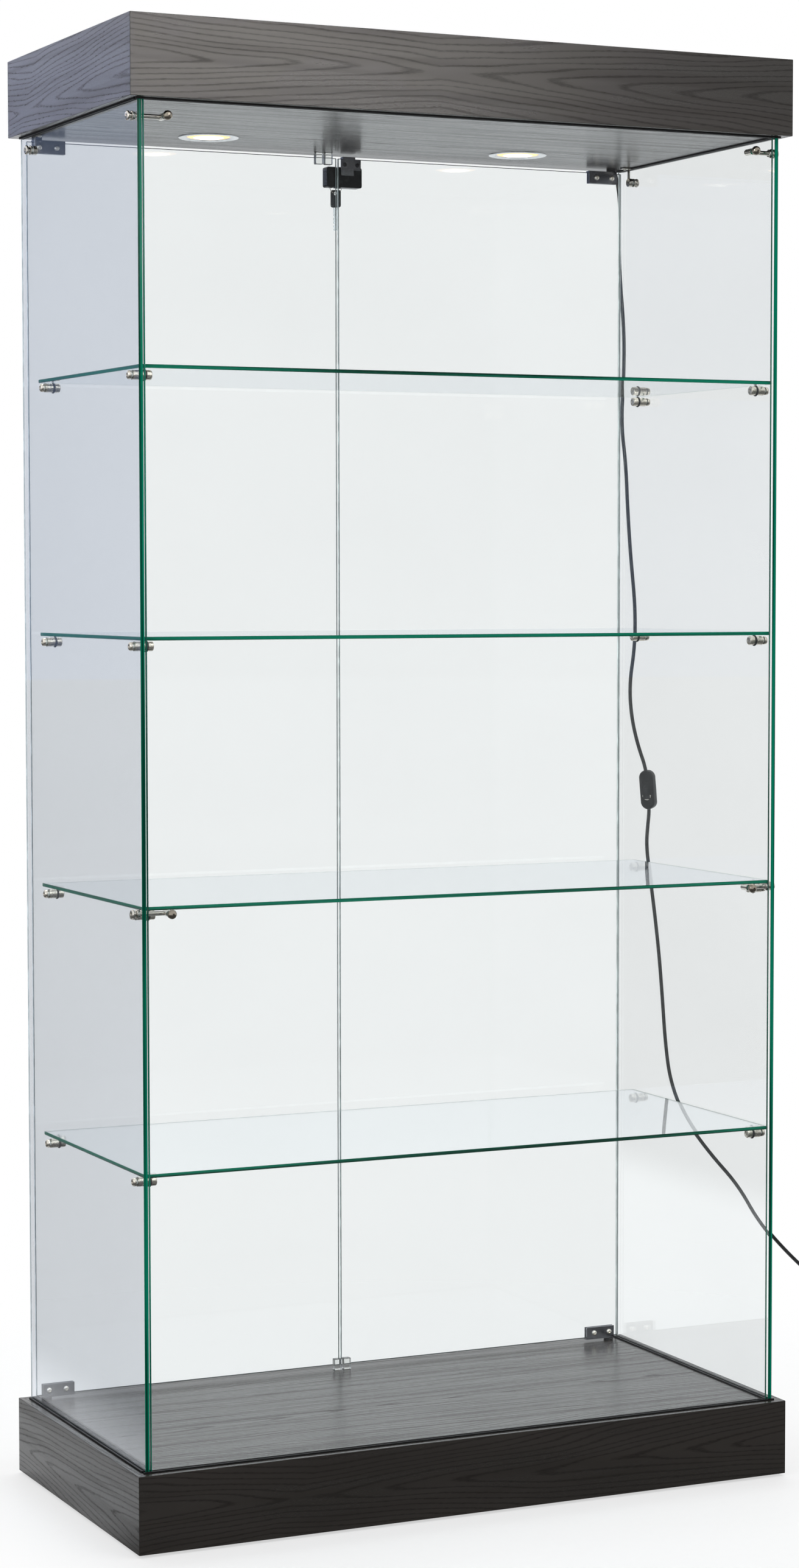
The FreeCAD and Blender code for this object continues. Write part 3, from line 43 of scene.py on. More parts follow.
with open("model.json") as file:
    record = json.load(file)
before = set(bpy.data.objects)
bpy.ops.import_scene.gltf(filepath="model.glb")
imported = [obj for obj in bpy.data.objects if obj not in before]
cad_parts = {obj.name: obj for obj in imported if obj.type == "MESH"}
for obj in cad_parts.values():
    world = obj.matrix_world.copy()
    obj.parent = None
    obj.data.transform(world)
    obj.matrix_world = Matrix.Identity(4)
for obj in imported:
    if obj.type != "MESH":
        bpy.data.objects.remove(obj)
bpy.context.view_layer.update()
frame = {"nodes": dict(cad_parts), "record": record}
BODIES = frame["record"]["behaviour"]["bodies"]
BODY_OF = {node: body for body, members in BODIES.items() for node in members}
MM = 0.001
SIDES = (-1, 1)
X, Y, Z = range(3)
SHELVES = range(1, 5)
# Two points nearer than this, in metres, are one.
TINY = 1e-6

# Levels that the CAD frame gives, in millimetres: the deck, the ceiling and the back board's face.
DECK_TOP = 111
CEILING = 1932
BACK_FACE = 250


class CaseSizes(bpy.types.PropertyGroup):
    """Sizes of the finishing work, which the CAD frame leaves open."""

    board_ease: FloatProperty(
        name="Board edge",
        description="Rounding of the laminate's edges",
        default=0.0007,
        unit="LENGTH",
    )
    glass_arris: FloatProperty(
        name="Glass arris",
        description="Ground chamfer along the glass edges",
        default=0.0007,
        unit="LENGTH",
    )
    turned_sides: IntProperty(
        name="Turned sides",
        description="Sides of the small turned pieces",
        default=32,
        min=12,
        max=64,
    )
    lead_width: FloatProperty(
        name="Lead width",
        description="Width of the flat twin lead",
        default=0.006,
        unit="LENGTH",
    )
    lead_thickness: FloatProperty(
        name="Lead thickness",
        description="Thickness of the flat twin lead",
        default=0.0034,
        unit="LENGTH",
    )
    lead_steps: IntProperty(
        name="Lead steps",
        description="Steps of the lead's line between two points",
        default=6,
        min=3,
        max=12,
    )


class CaseFinishes(bpy.types.PropertyGroup):
    """Colours of the case's finishes and of the studio."""

    laminate: FloatVectorProperty(
        name="Laminate", description="Ground of the printed ash grain",
        subtype="COLOR", size=4, default=(0.019, 0.016, 0.0133, 1), min=0, max=1,
    )
    laminate_line: FloatVectorProperty(
        name="Grain line", description="Dark lines of the ash grain",
        subtype="COLOR", size=4, default=(0.012, 0.0102, 0.0087, 1), min=0, max=1,
    )
    glass: FloatVectorProperty(
        name="Glass", description="Tint of the clear glass",
        subtype="COLOR", size=4, default=(0.985, 1.0, 1.0, 1), min=0, max=1,
    )
    # Painted shade: the left pane's tint is darker and bluer than the clear glass, for the shaded
    # backdrop seen through it.
    left_glass: FloatVectorProperty(
        name="Left glass", description="Tint of the left pane, with painted bluish shade",
        subtype="COLOR", size=4, default=(0.89, 0.92, 0.965, 1), min=0, max=1,
    )
    # Painted light: the right pane's tint is a touch lighter than the clear glass.
    right_glass: FloatVectorProperty(
        name="Right glass", description="Tint of the right pane, with painted light",
        subtype="COLOR", size=4, default=(0.99, 1.0, 1.0, 1), min=0, max=1,
    )
    glass_edge: FloatVectorProperty(
        name="Glass edge", description="Green of the glass seen through its edges",
        subtype="COLOR", size=4, default=(0.001, 0.165, 0.095, 1), min=0, max=1,
    )
    nickel: FloatVectorProperty(
        name="Nickel", description="Satin nickel of the pins and clamps",
        subtype="COLOR", size=4, default=(0.62, 0.58, 0.51, 1), min=0, max=1,
    )
    chrome: FloatVectorProperty(
        name="Chrome", description="Bright plating of the connectors and screws",
        subtype="COLOR", size=4, default=(0.66, 0.63, 0.57, 1), min=0, max=1,
    )
    lamp: FloatVectorProperty(
        name="Lamp", description="Warm glow of the downlights",
        subtype="COLOR", size=4, default=(1.0, 0.56, 0.24, 1), min=0, max=1,
    )
    surround: FloatVectorProperty(
        name="Surround", description="White of the studio",
        subtype="COLOR", size=4, default=(1.0, 1.0, 1.0, 1), min=0, max=1,
    )


def sizes():
    """The scene's finishing sizes."""
    return bpy.context.scene.case_sizes


def finishes():
    """The scene's colours."""
    return bpy.context.scene.case_finishes


def deselect():
    """Leave nothing selected, so that an operator acts on its own piece alone."""
    bpy.ops.object.select_all(action="DESELECT")


def choose(*pieces):
    """Select these pieces, with the last of them active."""
    deselect()
    for piece in pieces:
        piece.select_set(True)
    bpy.context.view_layer.objects.active = pieces[-1]


def begin_edit(piece):
    """Open a piece for editing, with all of it selected."""
    choose(piece)
    bpy.ops.object.mode_set(mode="EDIT")
    bpy.ops.mesh.select_all(action="SELECT")


def end_edit():
    """Turn all faces outwards and close the piece."""
    bpy.ops.mesh.select_all(action="SELECT")
    bpy.ops.mesh.normals_make_consistent(inside=False)
    bpy.ops.object.mode_set(mode="OBJECT")


def pick(piece, kind, test):
    """Select the faces, edges or points of an open piece that pass a test."""
    bpy.ops.mesh.select_mode(type=kind)
    bpy.ops.mesh.select_all(action="DESELECT")
    shape = bmesh.from_edit_mesh(piece.data)
    parts = {"FACE": shape.faces, "EDGE": shape.edges, "VERT": shape.verts}[kind]
    for part in parts:
        part.select_set(test(part))
    bmesh.update_edit_mesh(piece.data)


def slab(low, high):
    """A box between two corners in millimetres, to be shaped further."""
    deselect()
    low = Vector(low) * MM
    high = Vector(high) * MM
    bpy.ops.mesh.primitive_cube_add(size=1, location=(low + high) / 2, scale=high - low)
    bpy.ops.object.transform_apply(location=True, rotation=True, scale=True)
    return bpy.context.object


def turned(rings, sides=None):
    """A turned piece on the Z axis, drawn out of a filled circle ring by ring, in millimetres."""
    deselect()
    radius, height = rings[0]
    bpy.ops.mesh.primitive_circle_add(
        vertices=sides or sizes().turned_sides,
        radius=radius * MM,
        fill_type="NGON",
        location=(0, 0, height * MM),
    )
    bpy.ops.object.transform_apply(location=True, rotation=True, scale=True)
    piece = bpy.context.object
    begin_edit(piece)
    for wide, high in rings[1:]:
        step = (0, 0, (high - height) * MM)
        bpy.ops.mesh.extrude_region_move(TRANSFORM_OT_translate={"value": step})
        ratio = wide / radius
        bpy.ops.transform.resize(value=(ratio, ratio, 1), center_override=(0, 0, high * MM))
        radius = wide
        height = high
    end_edit()
    return piece


def ring_of(radius, wire, segments, place, turn=(0, 0, 0)):
    """A ring of round wire or cord, its sizes and its middle in millimetres."""
    deselect()
    around, across = segments
    bpy.ops.mesh.primitive_torus_add(
        major_segments=around,
        minor_segments=across,
        major_radius=radius * MM,
        minor_radius=wire * MM,
        location=[c * MM for c in place],
        rotation=turn,
    )
    bpy.ops.object.transform_apply(location=True, rotation=True, scale=True)
    return bpy.context.object


def stadium(width, length, layers, sides=56):
    """A pill-shaped moulding drawn out of a circle, in layers of a height and an inset in mm."""
    deselect()
    half = width / 2
    bpy.ops.mesh.primitive_circle_add(vertices=sides, radius=half * MM, fill_type="NGON")
    piece = bpy.context.object
    begin_edit(piece)
    reach = (length - width) / 2 * MM
    for side in SIDES:
        pick(piece, "VERT", lambda v: v.co.y * side > TINY)
        bpy.ops.transform.translate(value=(0, side * reach, 0))
    bpy.ops.mesh.select_mode(type="FACE")
    bpy.ops.mesh.select_all(action="SELECT")
    height, inset = layers[0]
    bpy.ops.transform.translate(value=(0, 0, height * MM))
    shrink = (1 - inset / half, 1 - 2 * inset / length, 1)
    bpy.ops.transform.resize(value=shrink, center_override=(0, 0, height * MM))
    for high, deeper in layers[1:]:
        step = (0, 0, (high - height) * MM)
        bpy.ops.mesh.extrude_region_move(TRANSFORM_OT_translate={"value": step})
        across = (half - deeper) / (half - inset)
        along = (length / 2 - deeper) / (length / 2 - inset)
        bpy.ops.transform.resize(value=(across, along, 1), center_override=(0, 0, high * MM))
        height = high
        inset = deeper
    end_edit()
    return piece


def eased(piece, width, segments=2, angle=30):
    """Round a piece's sharp edges, by a width in millimetres."""
    choose(piece)
    bevel = piece.modifiers.new("Eased edges", "BEVEL")
    bevel.width = width * MM
    bevel.segments = segments
    bevel.limit_method = "ANGLE"
    bevel.angle_limit = math.radians(angle)
    bpy.ops.object.modifier_apply(modifier=bevel.name)
    return piece


def bored(piece, cutter):
    """Cut one piece out of another."""
    choose(piece)
    hole = piece.modifiers.new("Bore", "BOOLEAN")
    hole.operation = "DIFFERENCE"
    hole.object = cutter
    bpy.ops.object.modifier_apply(modifier=hole.name)
    bpy.data.objects.remove(cutter)
    return piece


def from_cad(node):
    """A merged copy of a CAD node, with its triangles made whole faces."""
    piece = bpy.data.objects.new(f"{node}_copy", frame["nodes"][node].data.copy())
    bpy.context.collection.objects.link(piece)
    piece.data.materials.clear()
    choose(piece)
    bpy.ops.mesh.customdata_custom_splitnormals_clear()
    begin_edit(piece)
    bpy.ops.mesh.remove_doubles(threshold=TINY)
    bpy.ops.mesh.dissolve_limited(angle_limit=math.radians(1))
    bpy.ops.object.mode_set(mode="OBJECT")
    return piece


def moved(piece, matrix):
    """Put a modelled piece in its place, in its own mesh."""
    piece.data.transform(matrix)
    piece.data.update()
    return piece


def aim(point, direction):
    """The place of a piece modelled on the Z axis: its foot in millimetres and where it points."""
    turn = Vector((0, 0, 1)).rotation_difference(Vector(direction))
    return Matrix.Translation(Vector(point) * MM) @ turn.to_matrix().to_4x4()


def joined(pieces):
    """One piece out of several."""
    choose(*pieces)
    if len(pieces) > 1:
        bpy.ops.object.join()
    return bpy.context.object


def copies(pattern, places):
    """One modelled piece repeated at its places, each copy with its own mesh, and joined."""
    made = []
    for place in places:
        copy = bpy.data.objects.new(pattern.name, pattern.data.copy())
        bpy.context.collection.objects.link(copy)
        made.append(moved(copy, place))
    bpy.data.objects.remove(pattern)
    return joined(made)


def coat(piece, *materials):
    """Give a piece its finish."""
    piece.data.materials.clear()
    for material in materials:
        piece.data.materials.append(material)
    return piece


def fit(piece, name, node, smooth=40):
    """Name a finished piece, smooth it, and let it stand for a CAD node on that node's body."""
    piece.name = name
    piece.data.name = name
    choose(piece)
    bpy.ops.object.shade_smooth_by_angle(angle=math.radians(smooth))
    flat = piece.modifiers.new("Flat faces", "WEIGHTED_NORMAL")
    flat.keep_sharp = True
    bpy.ops.object.modifier_apply(modifier=flat.name)
    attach(piece, BODY_OF[node])
    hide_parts(node)
    return piece


def put(tree, kind, links=None, **settings):
    """A node with its settings, and its inputs given as values or as other nodes' outputs."""
    made = tree.nodes.new(kind)
    for key, value in settings.items():
        setattr(made, key, value)
    for key, value in (links or {}).items():
        if isinstance(value, bpy.types.NodeSocket):
            tree.links.new(value, made.inputs[key])
        else:
            made.inputs[key].default_value = value
    return made


def maths(tree, operation, *values, clamp=False):
    """The output of a Math node."""
    links = dict(enumerate(values))
    return put(tree, "ShaderNodeMath", links, operation=operation, use_clamp=clamp).outputs[0]


def ramped(tree, value, low, high, start=0.0, end=1.0):
    """A value eased from one range to another and held at its ends."""
    links = {"Value": value, "From Min": low, "From Max": high, "To Min": start, "To Max": end}
    return put(tree, "ShaderNodeMapRange", links, interpolation_type="SMOOTHSTEP").outputs["Result"]


def noise(tree, vector, scale, **settings):
    """Noise whose pattern has one scale."""
    links = {"Vector": vector, "Scale": scale, **settings}
    return put(tree, "ShaderNodeTexNoise", links).outputs["Fac"]


def stretched(tree, vector, scale, **settings):
    """Noise whose pattern is stretched by a different scale on each axis."""
    spread = put(tree, "ShaderNodeVectorMath", {0: vector, 1: scale}, operation="MULTIPLY")
    return noise(tree, spread.outputs[0], 1.0, **settings)


def blended(tree, factor, first, second):
    """A colour between two colours."""
    links = {"Factor": factor, 6: first, 7: second}
    return put(tree, "ShaderNodeMix", links, data_type="RGBA").outputs[2]


def toned(tint, share, lift=0):
    """A darker or lighter tone of a colour."""
    return tuple(c * share + lift for c in tint[:3]) + (1,)


def new_group(name, inputs, outputs):
    """An empty node group with named sockets."""
    group = bpy.data.node_groups.new(name, "ShaderNodeTree")
    for label, kind, value in inputs:
        socket = group.interface.new_socket(label, in_out="INPUT", socket_type=kind)
        if value is not None:
            socket.default_value = value
    for label in outputs:
        group.interface.new_socket(label, in_out="OUTPUT", socket_type="NodeSocketFloat")
    return group, group.nodes.new("NodeGroupInput"), group.nodes.new("NodeGroupOutput")


def put_out(group, result, **values):
    """Lead a group's values to its outputs."""
    for label, value in values.items():
        group.links.new(value, result.inputs[label])


# The ash figure: where its loops lie, in metres, and how many dark lines there are to a metre.
HEART_HEIGHT = 1.7575
HEART_SPACING = 0.1375
HEART_WANDER = 0.045
LOOP_START = 0.375
LOOP_LENGTH = 0.9
LINES_ACROSS = 130.0
LINES_ALONG = -9.0
# How many lines the figure and the ragged edges shift them.
FIGURE_SHIFT = 3.0
RAGGED_SHIFT = 0.4


def ash_grain():
    """Plain-sawn ash along X: nested loops of dark lines, with short pores between them."""
    if "Ash grain" in bpy.data.node_groups:
        return bpy.data.node_groups["Ash grain"]
    group, given, result = new_group(
        "Ash grain", [("Vector", "NodeSocketVector", None)], ("Line", "Pores", "Cloud", "Streak")
    )
    apart = put(group, "ShaderNodeSeparateXYZ", {0: given.outputs["Vector"]})
    across = maths(group, "ADD", apart.outputs["Y"], apart.outputs["Z"])
    face = put(group, "ShaderNodeCombineXYZ", {0: apart.outputs["X"], 1: across}).outputs[0]
    wander = stretched(group, face, (1.7, 3.0, 1.0), Detail=1.0)
    heart = maths(group, "SUBTRACT", across, HEART_HEIGHT)
    heart = maths(group, "MULTIPLY_ADD", wander, HEART_WANDER, heart)
    beside = maths(group, "PINGPONG", heart, HEART_SPACING)
    beside = maths(group, "SMOOTH_MAX", beside, 0.004, 0.012)
    drift = stretched(group, face, (0.01, 1.3, 1.0), Detail=0.0)
    drift = maths(group, "SUBTRACT", drift, LOOP_START)
    along = maths(group, "PINGPONG", maths(group, "ADD", apart.outputs["X"], drift), LOOP_LENGTH)
    figure = stretched(group, face, (3.0, 22.0, 1.0), Detail=2.0)
    ragged = stretched(group, face, (90.0, 1100.0, 1.0), Detail=3.0)
    count = maths(group, "MULTIPLY", along, LINES_ALONG)
    count = maths(group, "MULTIPLY_ADD", beside, LINES_ACROSS, count)
    count = maths(group, "MULTIPLY_ADD", figure, FIGURE_SHIFT, count)
    count = maths(group, "MULTIPLY_ADD", ragged, RAGGED_SHIFT, count)
    crest = maths(group, "PINGPONG", count, 0.5)
    line = ramped(group, crest, 0.04, 0.19, 1.0, 0.0)
    pores = stretched(group, face, (120.0, 2600.0, 1.0), Detail=1.0)
    pores = ramped(group, pores, 0.46, 0.62)
    cloud = stretched(group, face, (3.0, 14.0, 1.0), Detail=3.0)
    streak = stretched(group, face, (2.0, 70.0, 1.0), Detail=4.0)
    streak = ramped(group, streak, 0.42, 0.68)
    put_out(group, result, Line=line, Pores=pores, Cloud=cloud, Streak=streak)
    return group


def handling():
    """Handling marks: cloudy scuffs and fine scratches, from the surface's own coordinates."""
    if "Handling marks" in bpy.data.node_groups:
        return bpy.data.node_groups["Handling marks"]
    group, given, result = new_group(
        "Handling marks",
        [("Vector", "NodeSocketVector", None), ("Scale", "NodeSocketFloat", 40.0)],
        ("Scuff", "Scratch", "Grain"),
    )
    spread = put(
        group,
        "ShaderNodeVectorMath",
        {0: given.outputs["Vector"], "Scale": given.outputs["Scale"]},
        operation="SCALE",
    ).outputs[0]
    scuff = ramped(group, noise(group, spread, 1.0, Detail=5.0), 0.42, 0.72)
    lines = stretched(group, spread, (0.7, 14.0, 14.0), Detail=3.0)
    scratch = ramped(group, lines, 0.62, 0.74)
    grain = noise(group, spread, 60.0, Detail=2.0)
    put_out(group, result, Scuff=scuff, Scratch=scratch, Grain=grain)
    return group


def made_once(make):
    """Make a finish when its name is first asked for, and give the same one after that."""

    def give(name, *values, **settings):
        return bpy.data.materials.get(name) or make(name, *values, **settings)

    return give


def new_material(name):
    """A material, its tree, its shader and its object coordinates."""
    material = bpy.data.materials.new(name)
    material.use_nodes = True
    tree = material.node_tree
    shader = tree.nodes["Principled BSDF"]
    place = put(tree, "ShaderNodeTexCoord").outputs["Object"]
    return material, tree, shader, place


def even(shader, **values):
    """Set the shader's values that are the same all over the surface."""
    for socket, value in values.items():
        shader.inputs[socket.replace("_", " ")].default_value = value


def bump(tree, shader, height, strength, distance):
    """A relief on the shader's normal."""
    links = {"Height": height, "Strength": strength, "Distance": distance}
    tree.links.new(put(tree, "ShaderNodeBump", links).outputs["Normal"], shader.inputs["Normal"])


@made_once
def laminate(name, turn):
    """Black ash laminate, with its grain turned about Z by an angle in degrees."""
    material, tree, shader, place = new_material(name)
    links = {"Vector": place, "Rotation": (0, 0, math.radians(turn))}
    lengthwise = put(tree, "ShaderNodeMapping", links).outputs[0]
    grain = put(tree, "ShaderNodeGroup", {"Vector": lengthwise}, node_tree=ash_grain())
    ground = tuple(finishes().laminate)
    cloud = ramped(tree, grain.outputs["Cloud"], 0.3, 0.7)
    base = blended(tree, cloud, ground, toned(ground, 1.25))
    broken = maths(tree, "MULTIPLY_ADD", grain.outputs["Pores"], 0.5, 0.5)
    line = maths(tree, "MULTIPLY", grain.outputs["Line"], broken)
    tint = blended(tree, line, base, tuple(finishes().laminate_line))
    tree.links.new(tint, shader.inputs["Base Color"])
    marks = put(tree, "ShaderNodeGroup", {"Vector": place, "Scale": 9.0}, node_tree=handling())
    rough = maths(tree, "MULTIPLY_ADD", marks.outputs["Scuff"], 0.1, 0.45)
    tree.links.new(rough, shader.inputs["Roughness"])
    sheen = maths(tree, "MULTIPLY_ADD", line, -0.5, 1.0)
    sheen = maths(tree, "MULTIPLY_ADD", grain.outputs["Pores"], -0.1, sheen)
    sheen = maths(tree, "MULTIPLY_ADD", grain.outputs["Streak"], -0.22, sheen, clamp=True)
    tree.links.new(sheen, shader.inputs["Coat Weight"])
    relief = maths(tree, "MULTIPLY_ADD", grain.outputs["Pores"], -0.35, 1.0)
    relief = maths(tree, "SUBTRACT", relief, line)
    bump(tree, shader, relief, 0.06, 0.0002)
    even(shader, IOR=1.47, Specular_IOR_Level=0.02, Coat_Roughness=0.25, Coat_IOR=1.6)
    return material


@made_once
def sawn_wood(name, light, dark, scale):
    """A raw wood or fibre board with a stretched grain."""
    material, tree, shader, place = new_material(name)
    streak = stretched(tree, place, scale, Detail=6.0, Roughness=0.6)
    fleck = stretched(tree, place, (900.0, 900.0, 900.0), Detail=2.0)
    tint = blended(tree, ramped(tree, streak, 0.35, 0.65), light, dark)
    tree.links.new(tint, shader.inputs["Base Color"])
    tree.links.new(ramped(tree, fleck, 0.2, 0.8, 0.62, 0.85), shader.inputs["Roughness"])
    bump(tree, shader, maths(tree, "ADD", streak, fleck), 0.3, 0.0004)
    return material


def through_light(tree, shader, tint):
    """Let lamplight pass the glass, so that it lights what stands behind."""
    path = put(tree, "ShaderNodeLightPath")
    passing = maths(tree, "MAXIMUM", path.outputs["Is Shadow Ray"], path.outputs["Is Diffuse Ray"])
    clear = put(tree, "ShaderNodeBsdfTransparent", {"Color": tint})
    links = {0: passing, 1: shader.outputs["BSDF"], 2: clear.outputs["BSDF"]}
    mix = put(tree, "ShaderNodeMixShader", links)
    tree.links.new(mix.outputs[0], tree.nodes["Material Output"].inputs["Surface"])


@made_once
def float_glass(name, tint, gloss=0.5):
    """Float glass seen through its faces, with a breath of smears."""
    material, tree, shader, place = new_material(name)
    smear = ramped(tree, stretched(tree, place, (2.2, 2.2, 3.4), Detail=4.0), 0.35, 0.75)
    smeared = blended(tree, smear, tint, toned(tint, 0.985))
    tree.links.new(smeared, shader.inputs["Base Color"])
    even(shader, Transmission_Weight=1, Roughness=0, IOR=1.5, Specular_IOR_Level=gloss)
    through_light(tree, shader, tint)
    return material


def clear_glass():
    return float_glass("Clear float glass", tuple(finishes().glass))


# The left pane's glass, darkened and blued beyond the clear glass as painted shade.
def left_glass():
    return float_glass("Left float glass", tuple(finishes().left_glass), 0.4)


# The right pane's glass, a touch lighter than the clear glass as painted light.
def right_glass():
    return float_glass("Right float glass", tuple(finishes().right_glass), 0.4)


@made_once
def glass_edge(name, scale):
    """Polished glass edges, where the glass is seen along its length and is green, in streaks."""
    material, tree, shader, place = new_material(name)
    tint = tuple(finishes().glass_edge)
    streak = ramped(tree, stretched(tree, place, scale, Detail=3.0), 0.36, 0.6)
    streaked = blended(tree, streak, toned(tint, 0.2), tint)
    tree.links.new(streaked, shader.inputs["Base Color"])
    chips = stretched(tree, place, (500.0, 500.0, 500.0), Detail=2.0)
    tree.links.new(ramped(tree, chips, 0.3, 0.8, 0.06, 0.22), shader.inputs["Roughness"])
    bump(tree, shader, chips, 0.08, 0.0002)
    even(shader, IOR=1.5, Specular_IOR_Level=0.1)
    return material


def upright_edge():
    return glass_edge("Green glass edge, upright", (260.0, 260.0, 1.6))


def level_edge():
    return glass_edge("Green glass edge, level", (1.6, 1.6, 260.0))


def highlight_edge():
    """Thin glass edges at the back, painted pale as the highlight where they catch the light."""
    return moulding("Pale glass edge", (0.74, 0.79, 0.78, 1), 0.1, 0.24, scale=40.0, relief=0.05)


def shaded_arris():
    """Ground arrises at the back, painted dark as shade, which shows as lines beside the
    highlighted edges.
    """
    tint = (0.035, 0.05, 0.048, 1)
    return moulding("Ground arris", tint, 0.4, 0.55, scale=40.0, relief=0.05, gloss=0.2)


@made_once
def clear_plastic(name):
    """Clear moulded plastic of the door stops."""
    material, tree, shader, place = new_material(name)
    haze = ramped(tree, stretched(tree, place, (90.0, 90.0, 90.0), Detail=3.0), 0.3, 0.7)
    first = (0.86, 0.87, 0.86, 1)
    second = (0.78, 0.79, 0.78, 1)
    tree.links.new(blended(tree, haze, first, second), shader.inputs["Base Color"])
    tree.links.new(ramped(tree, haze, 0, 1, 0.05, 0.16), shader.inputs["Roughness"])
    even(shader, Transmission_Weight=1, IOR=1.49)
    through_light(tree, shader, first)
    return material


@made_once
def metal(name, tint, low, high, scale=160.0, relief=0.1):
    """Plated metal: a colour, a range of roughness, scuffs and fine scratches."""
    material, tree, shader, place = new_material(name)
    marks = put(tree, "ShaderNodeGroup", {"Vector": place, "Scale": scale}, node_tree=handling())
    worn = blended(tree, marks.outputs["Scuff"], tuple(tint), toned(tint, 0.8))
    tree.links.new(worn, shader.inputs["Base Color"])
    rough = maths(tree, "MULTIPLY_ADD", marks.outputs["Scuff"], (high - low) * 0.6, low)
    rough = maths(tree, "MULTIPLY_ADD", marks.outputs["Scratch"], (high - low) * 0.4, rough)
    tree.links.new(rough, shader.inputs["Roughness"])
    height = maths(tree, "MULTIPLY_ADD", marks.outputs["Scratch"], -0.5, marks.outputs["Grain"])
    bump(tree, shader, height, relief, 0.0001)
    even(shader, Metallic=1)
    return material


@made_once
def moulding(name, tint, low, high, scale=120.0, relief=0.2, gloss=0.5):
    """Moulded plastic or rubber with a fine skin and handling marks."""
    material, tree, shader, place = new_material(name)
    marks = put(tree, "ShaderNodeGroup", {"Vector": place, "Scale": scale}, node_tree=handling())
    dusty = blended(tree, marks.outputs["Scuff"], tint, toned(tint, 1.6, 0.002))
    tree.links.new(dusty, shader.inputs["Base Color"])
    rough = maths(tree, "MULTIPLY_ADD", marks.outputs["Scuff"], high - low, low)
    tree.links.new(rough, shader.inputs["Roughness"])
    bump(tree, shader, marks.outputs["Grain"], relief, 0.0001)
    even(shader, IOR=1.47, Specular_IOR_Level=gloss)
    return material


@made_once
def lamp_lens(name):
    """Glowing lens of a downlight, hottest in its middle."""
    material, tree, shader, place = new_material(name)
    low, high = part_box("downlight_lenses")
    middle = (low + high) / 2
    radius = (high.y - low.y) / 2
    apart = put(tree, "ShaderNodeSeparateXYZ", {0: place})
    across = maths(tree, "SUBTRACT", maths(tree, "ABSOLUTE", apart.outputs["X"]), high.x - radius)
    deep = maths(tree, "SUBTRACT", apart.outputs["Y"], middle.y)
    offset = put(tree, "ShaderNodeCombineXYZ", {0: across, 1: deep}).outputs[0]
    reach = put(tree, "ShaderNodeVectorMath", {0: offset}, operation="LENGTH").outputs["Value"]
    facets = put(tree, "ShaderNodeTexVoronoi", {"Vector": offset, "Scale": 260.0})
    rim = ramped(tree, reach, radius * 0.48, radius * 0.76)
    warm = tuple(finishes().lamp)
    glow = blended(tree, rim, (1.0, 0.93, 0.8, 1), toned(warm, 0.18))
    tree.links.new(glow, shader.inputs["Emission Color"])
    unlit = blended(tree, rim, (0.9, 0.88, 0.82, 1), warm)
    tree.links.new(unlit, shader.inputs["Base Color"])
    bump(tree, shader, facets.outputs["Distance"], 0.3, 0.001)
    even(shader, Emission_Strength=7)
    return material


# The finishes by name. Each is made when a piece first asks for it.
def long_laminate():
    return laminate("Black ash, grain across the front", 0)


def side_laminate():
    return laminate("Black ash, grain along the sides", 90)


def nickel():
    return metal("Satin nickel", finishes().nickel, 0.24, 0.42)


def chrome():
    return metal("Bright plating", finishes().chrome, 0.07, 0.2)


# Painted shade: chrome darkened to stand in for the dark studio that the ball heads mirror.
def shaded_chrome():
    return metal("Dark plating", (0.3, 0.265, 0.215, 1), 0.08, 0.2)


# Painted highlight: a silver lighter than the chrome, so that the door screws and the switch's
# crescent shine.
def highlight_silver():
    return metal("Satin silver", (0.92, 0.88, 0.8, 1), 0.32, 0.45, scale=300.0)


# Painted shade: polished steel darkened to stand in for the dark surroundings that the hinge clamps
# and the lock bracket mirror.
def shaded_steel():
    return metal("Smoked steel", (0.3, 0.305, 0.33, 1), 0.14, 0.28, scale=120.0)


def steel():
    return metal("Key steel", (0.6, 0.6, 0.58, 1), 0.2, 0.4, scale=260.0)


def rubber():
    return moulding("Black rubber", (0.012, 0.012, 0.013, 1), 0.5, 0.66, scale=200.0)


def sheath():
    return moulding("Lead sheath", (0.008, 0.0085, 0.009, 1), 0.3, 0.42, scale=90.0, relief=0.08)


def black_plastic():
    return moulding("Black plastic", (0.008, 0.008, 0.0085, 1), 0.38, 0.52)


DEEP_BLACK = (0.003, 0.003, 0.0035, 1)


def gloss_plastic():
    return moulding("Gloss black plastic", DEEP_BLACK, 0.14, 0.26, relief=0.06, gloss=0.25)


def lock_black():
    return moulding("Lock black", DEEP_BLACK, 0.2, 0.32, relief=0.06, gloss=0.12)


def channel_black():
    tint = (0.004, 0.004, 0.0045, 1)
    return moulding("Black glazing channel", tint, 0.42, 0.56, scale=30.0, relief=0.1, gloss=0.2)


# The level direction of the dark drape to front right. The one to back left hangs opposite.
DRAPE = (0.438, -0.899, 0.0)
# A drape fades in between two cosines off its direction, and out between two rises above level.
DRAPE_SIDE = (0.92, 0.96)
DRAPE_TOP = (0.12, 0.18)
FRONT_DRAPE_SHARE = 0.94
BACK_DRAPE_SHARE = 0.6
BACK_DRAPE = (0.32, 0.42, 0.66, 1)
MIRRORED_WHITE = (0.96, 0.98, 1.0, 1)
# Strength of the surround as a light. As a background it has strength 1.
AMBIENT = 0.65

FLOOR_RADIUS = 40
# Ranges on the floor, in metres: where the shadow runs out, and from where on, to the right and to
# the back, mirrors show the floor white.
SHADOW_END = (0.66, 1.4)
BEHIND_X = (-0.8, -0.5)
BEHIND_Y = (-0.25, 0.1)
# The shadow left of the case is lifted to white more than the shadow behind it.
LIFT_X = (-0.68, -0.5)
LIFT_SHARE = (0.85, 0.6)
# In mirrors the floor is dark near the case, and further off only below the drapes.
NEAR_FLOOR = (2.5, 6.0)
FLOOR_DRAPE_SIDE = (0.9, 0.95)
FLOOR_DRAPE_SHARE = 0.86

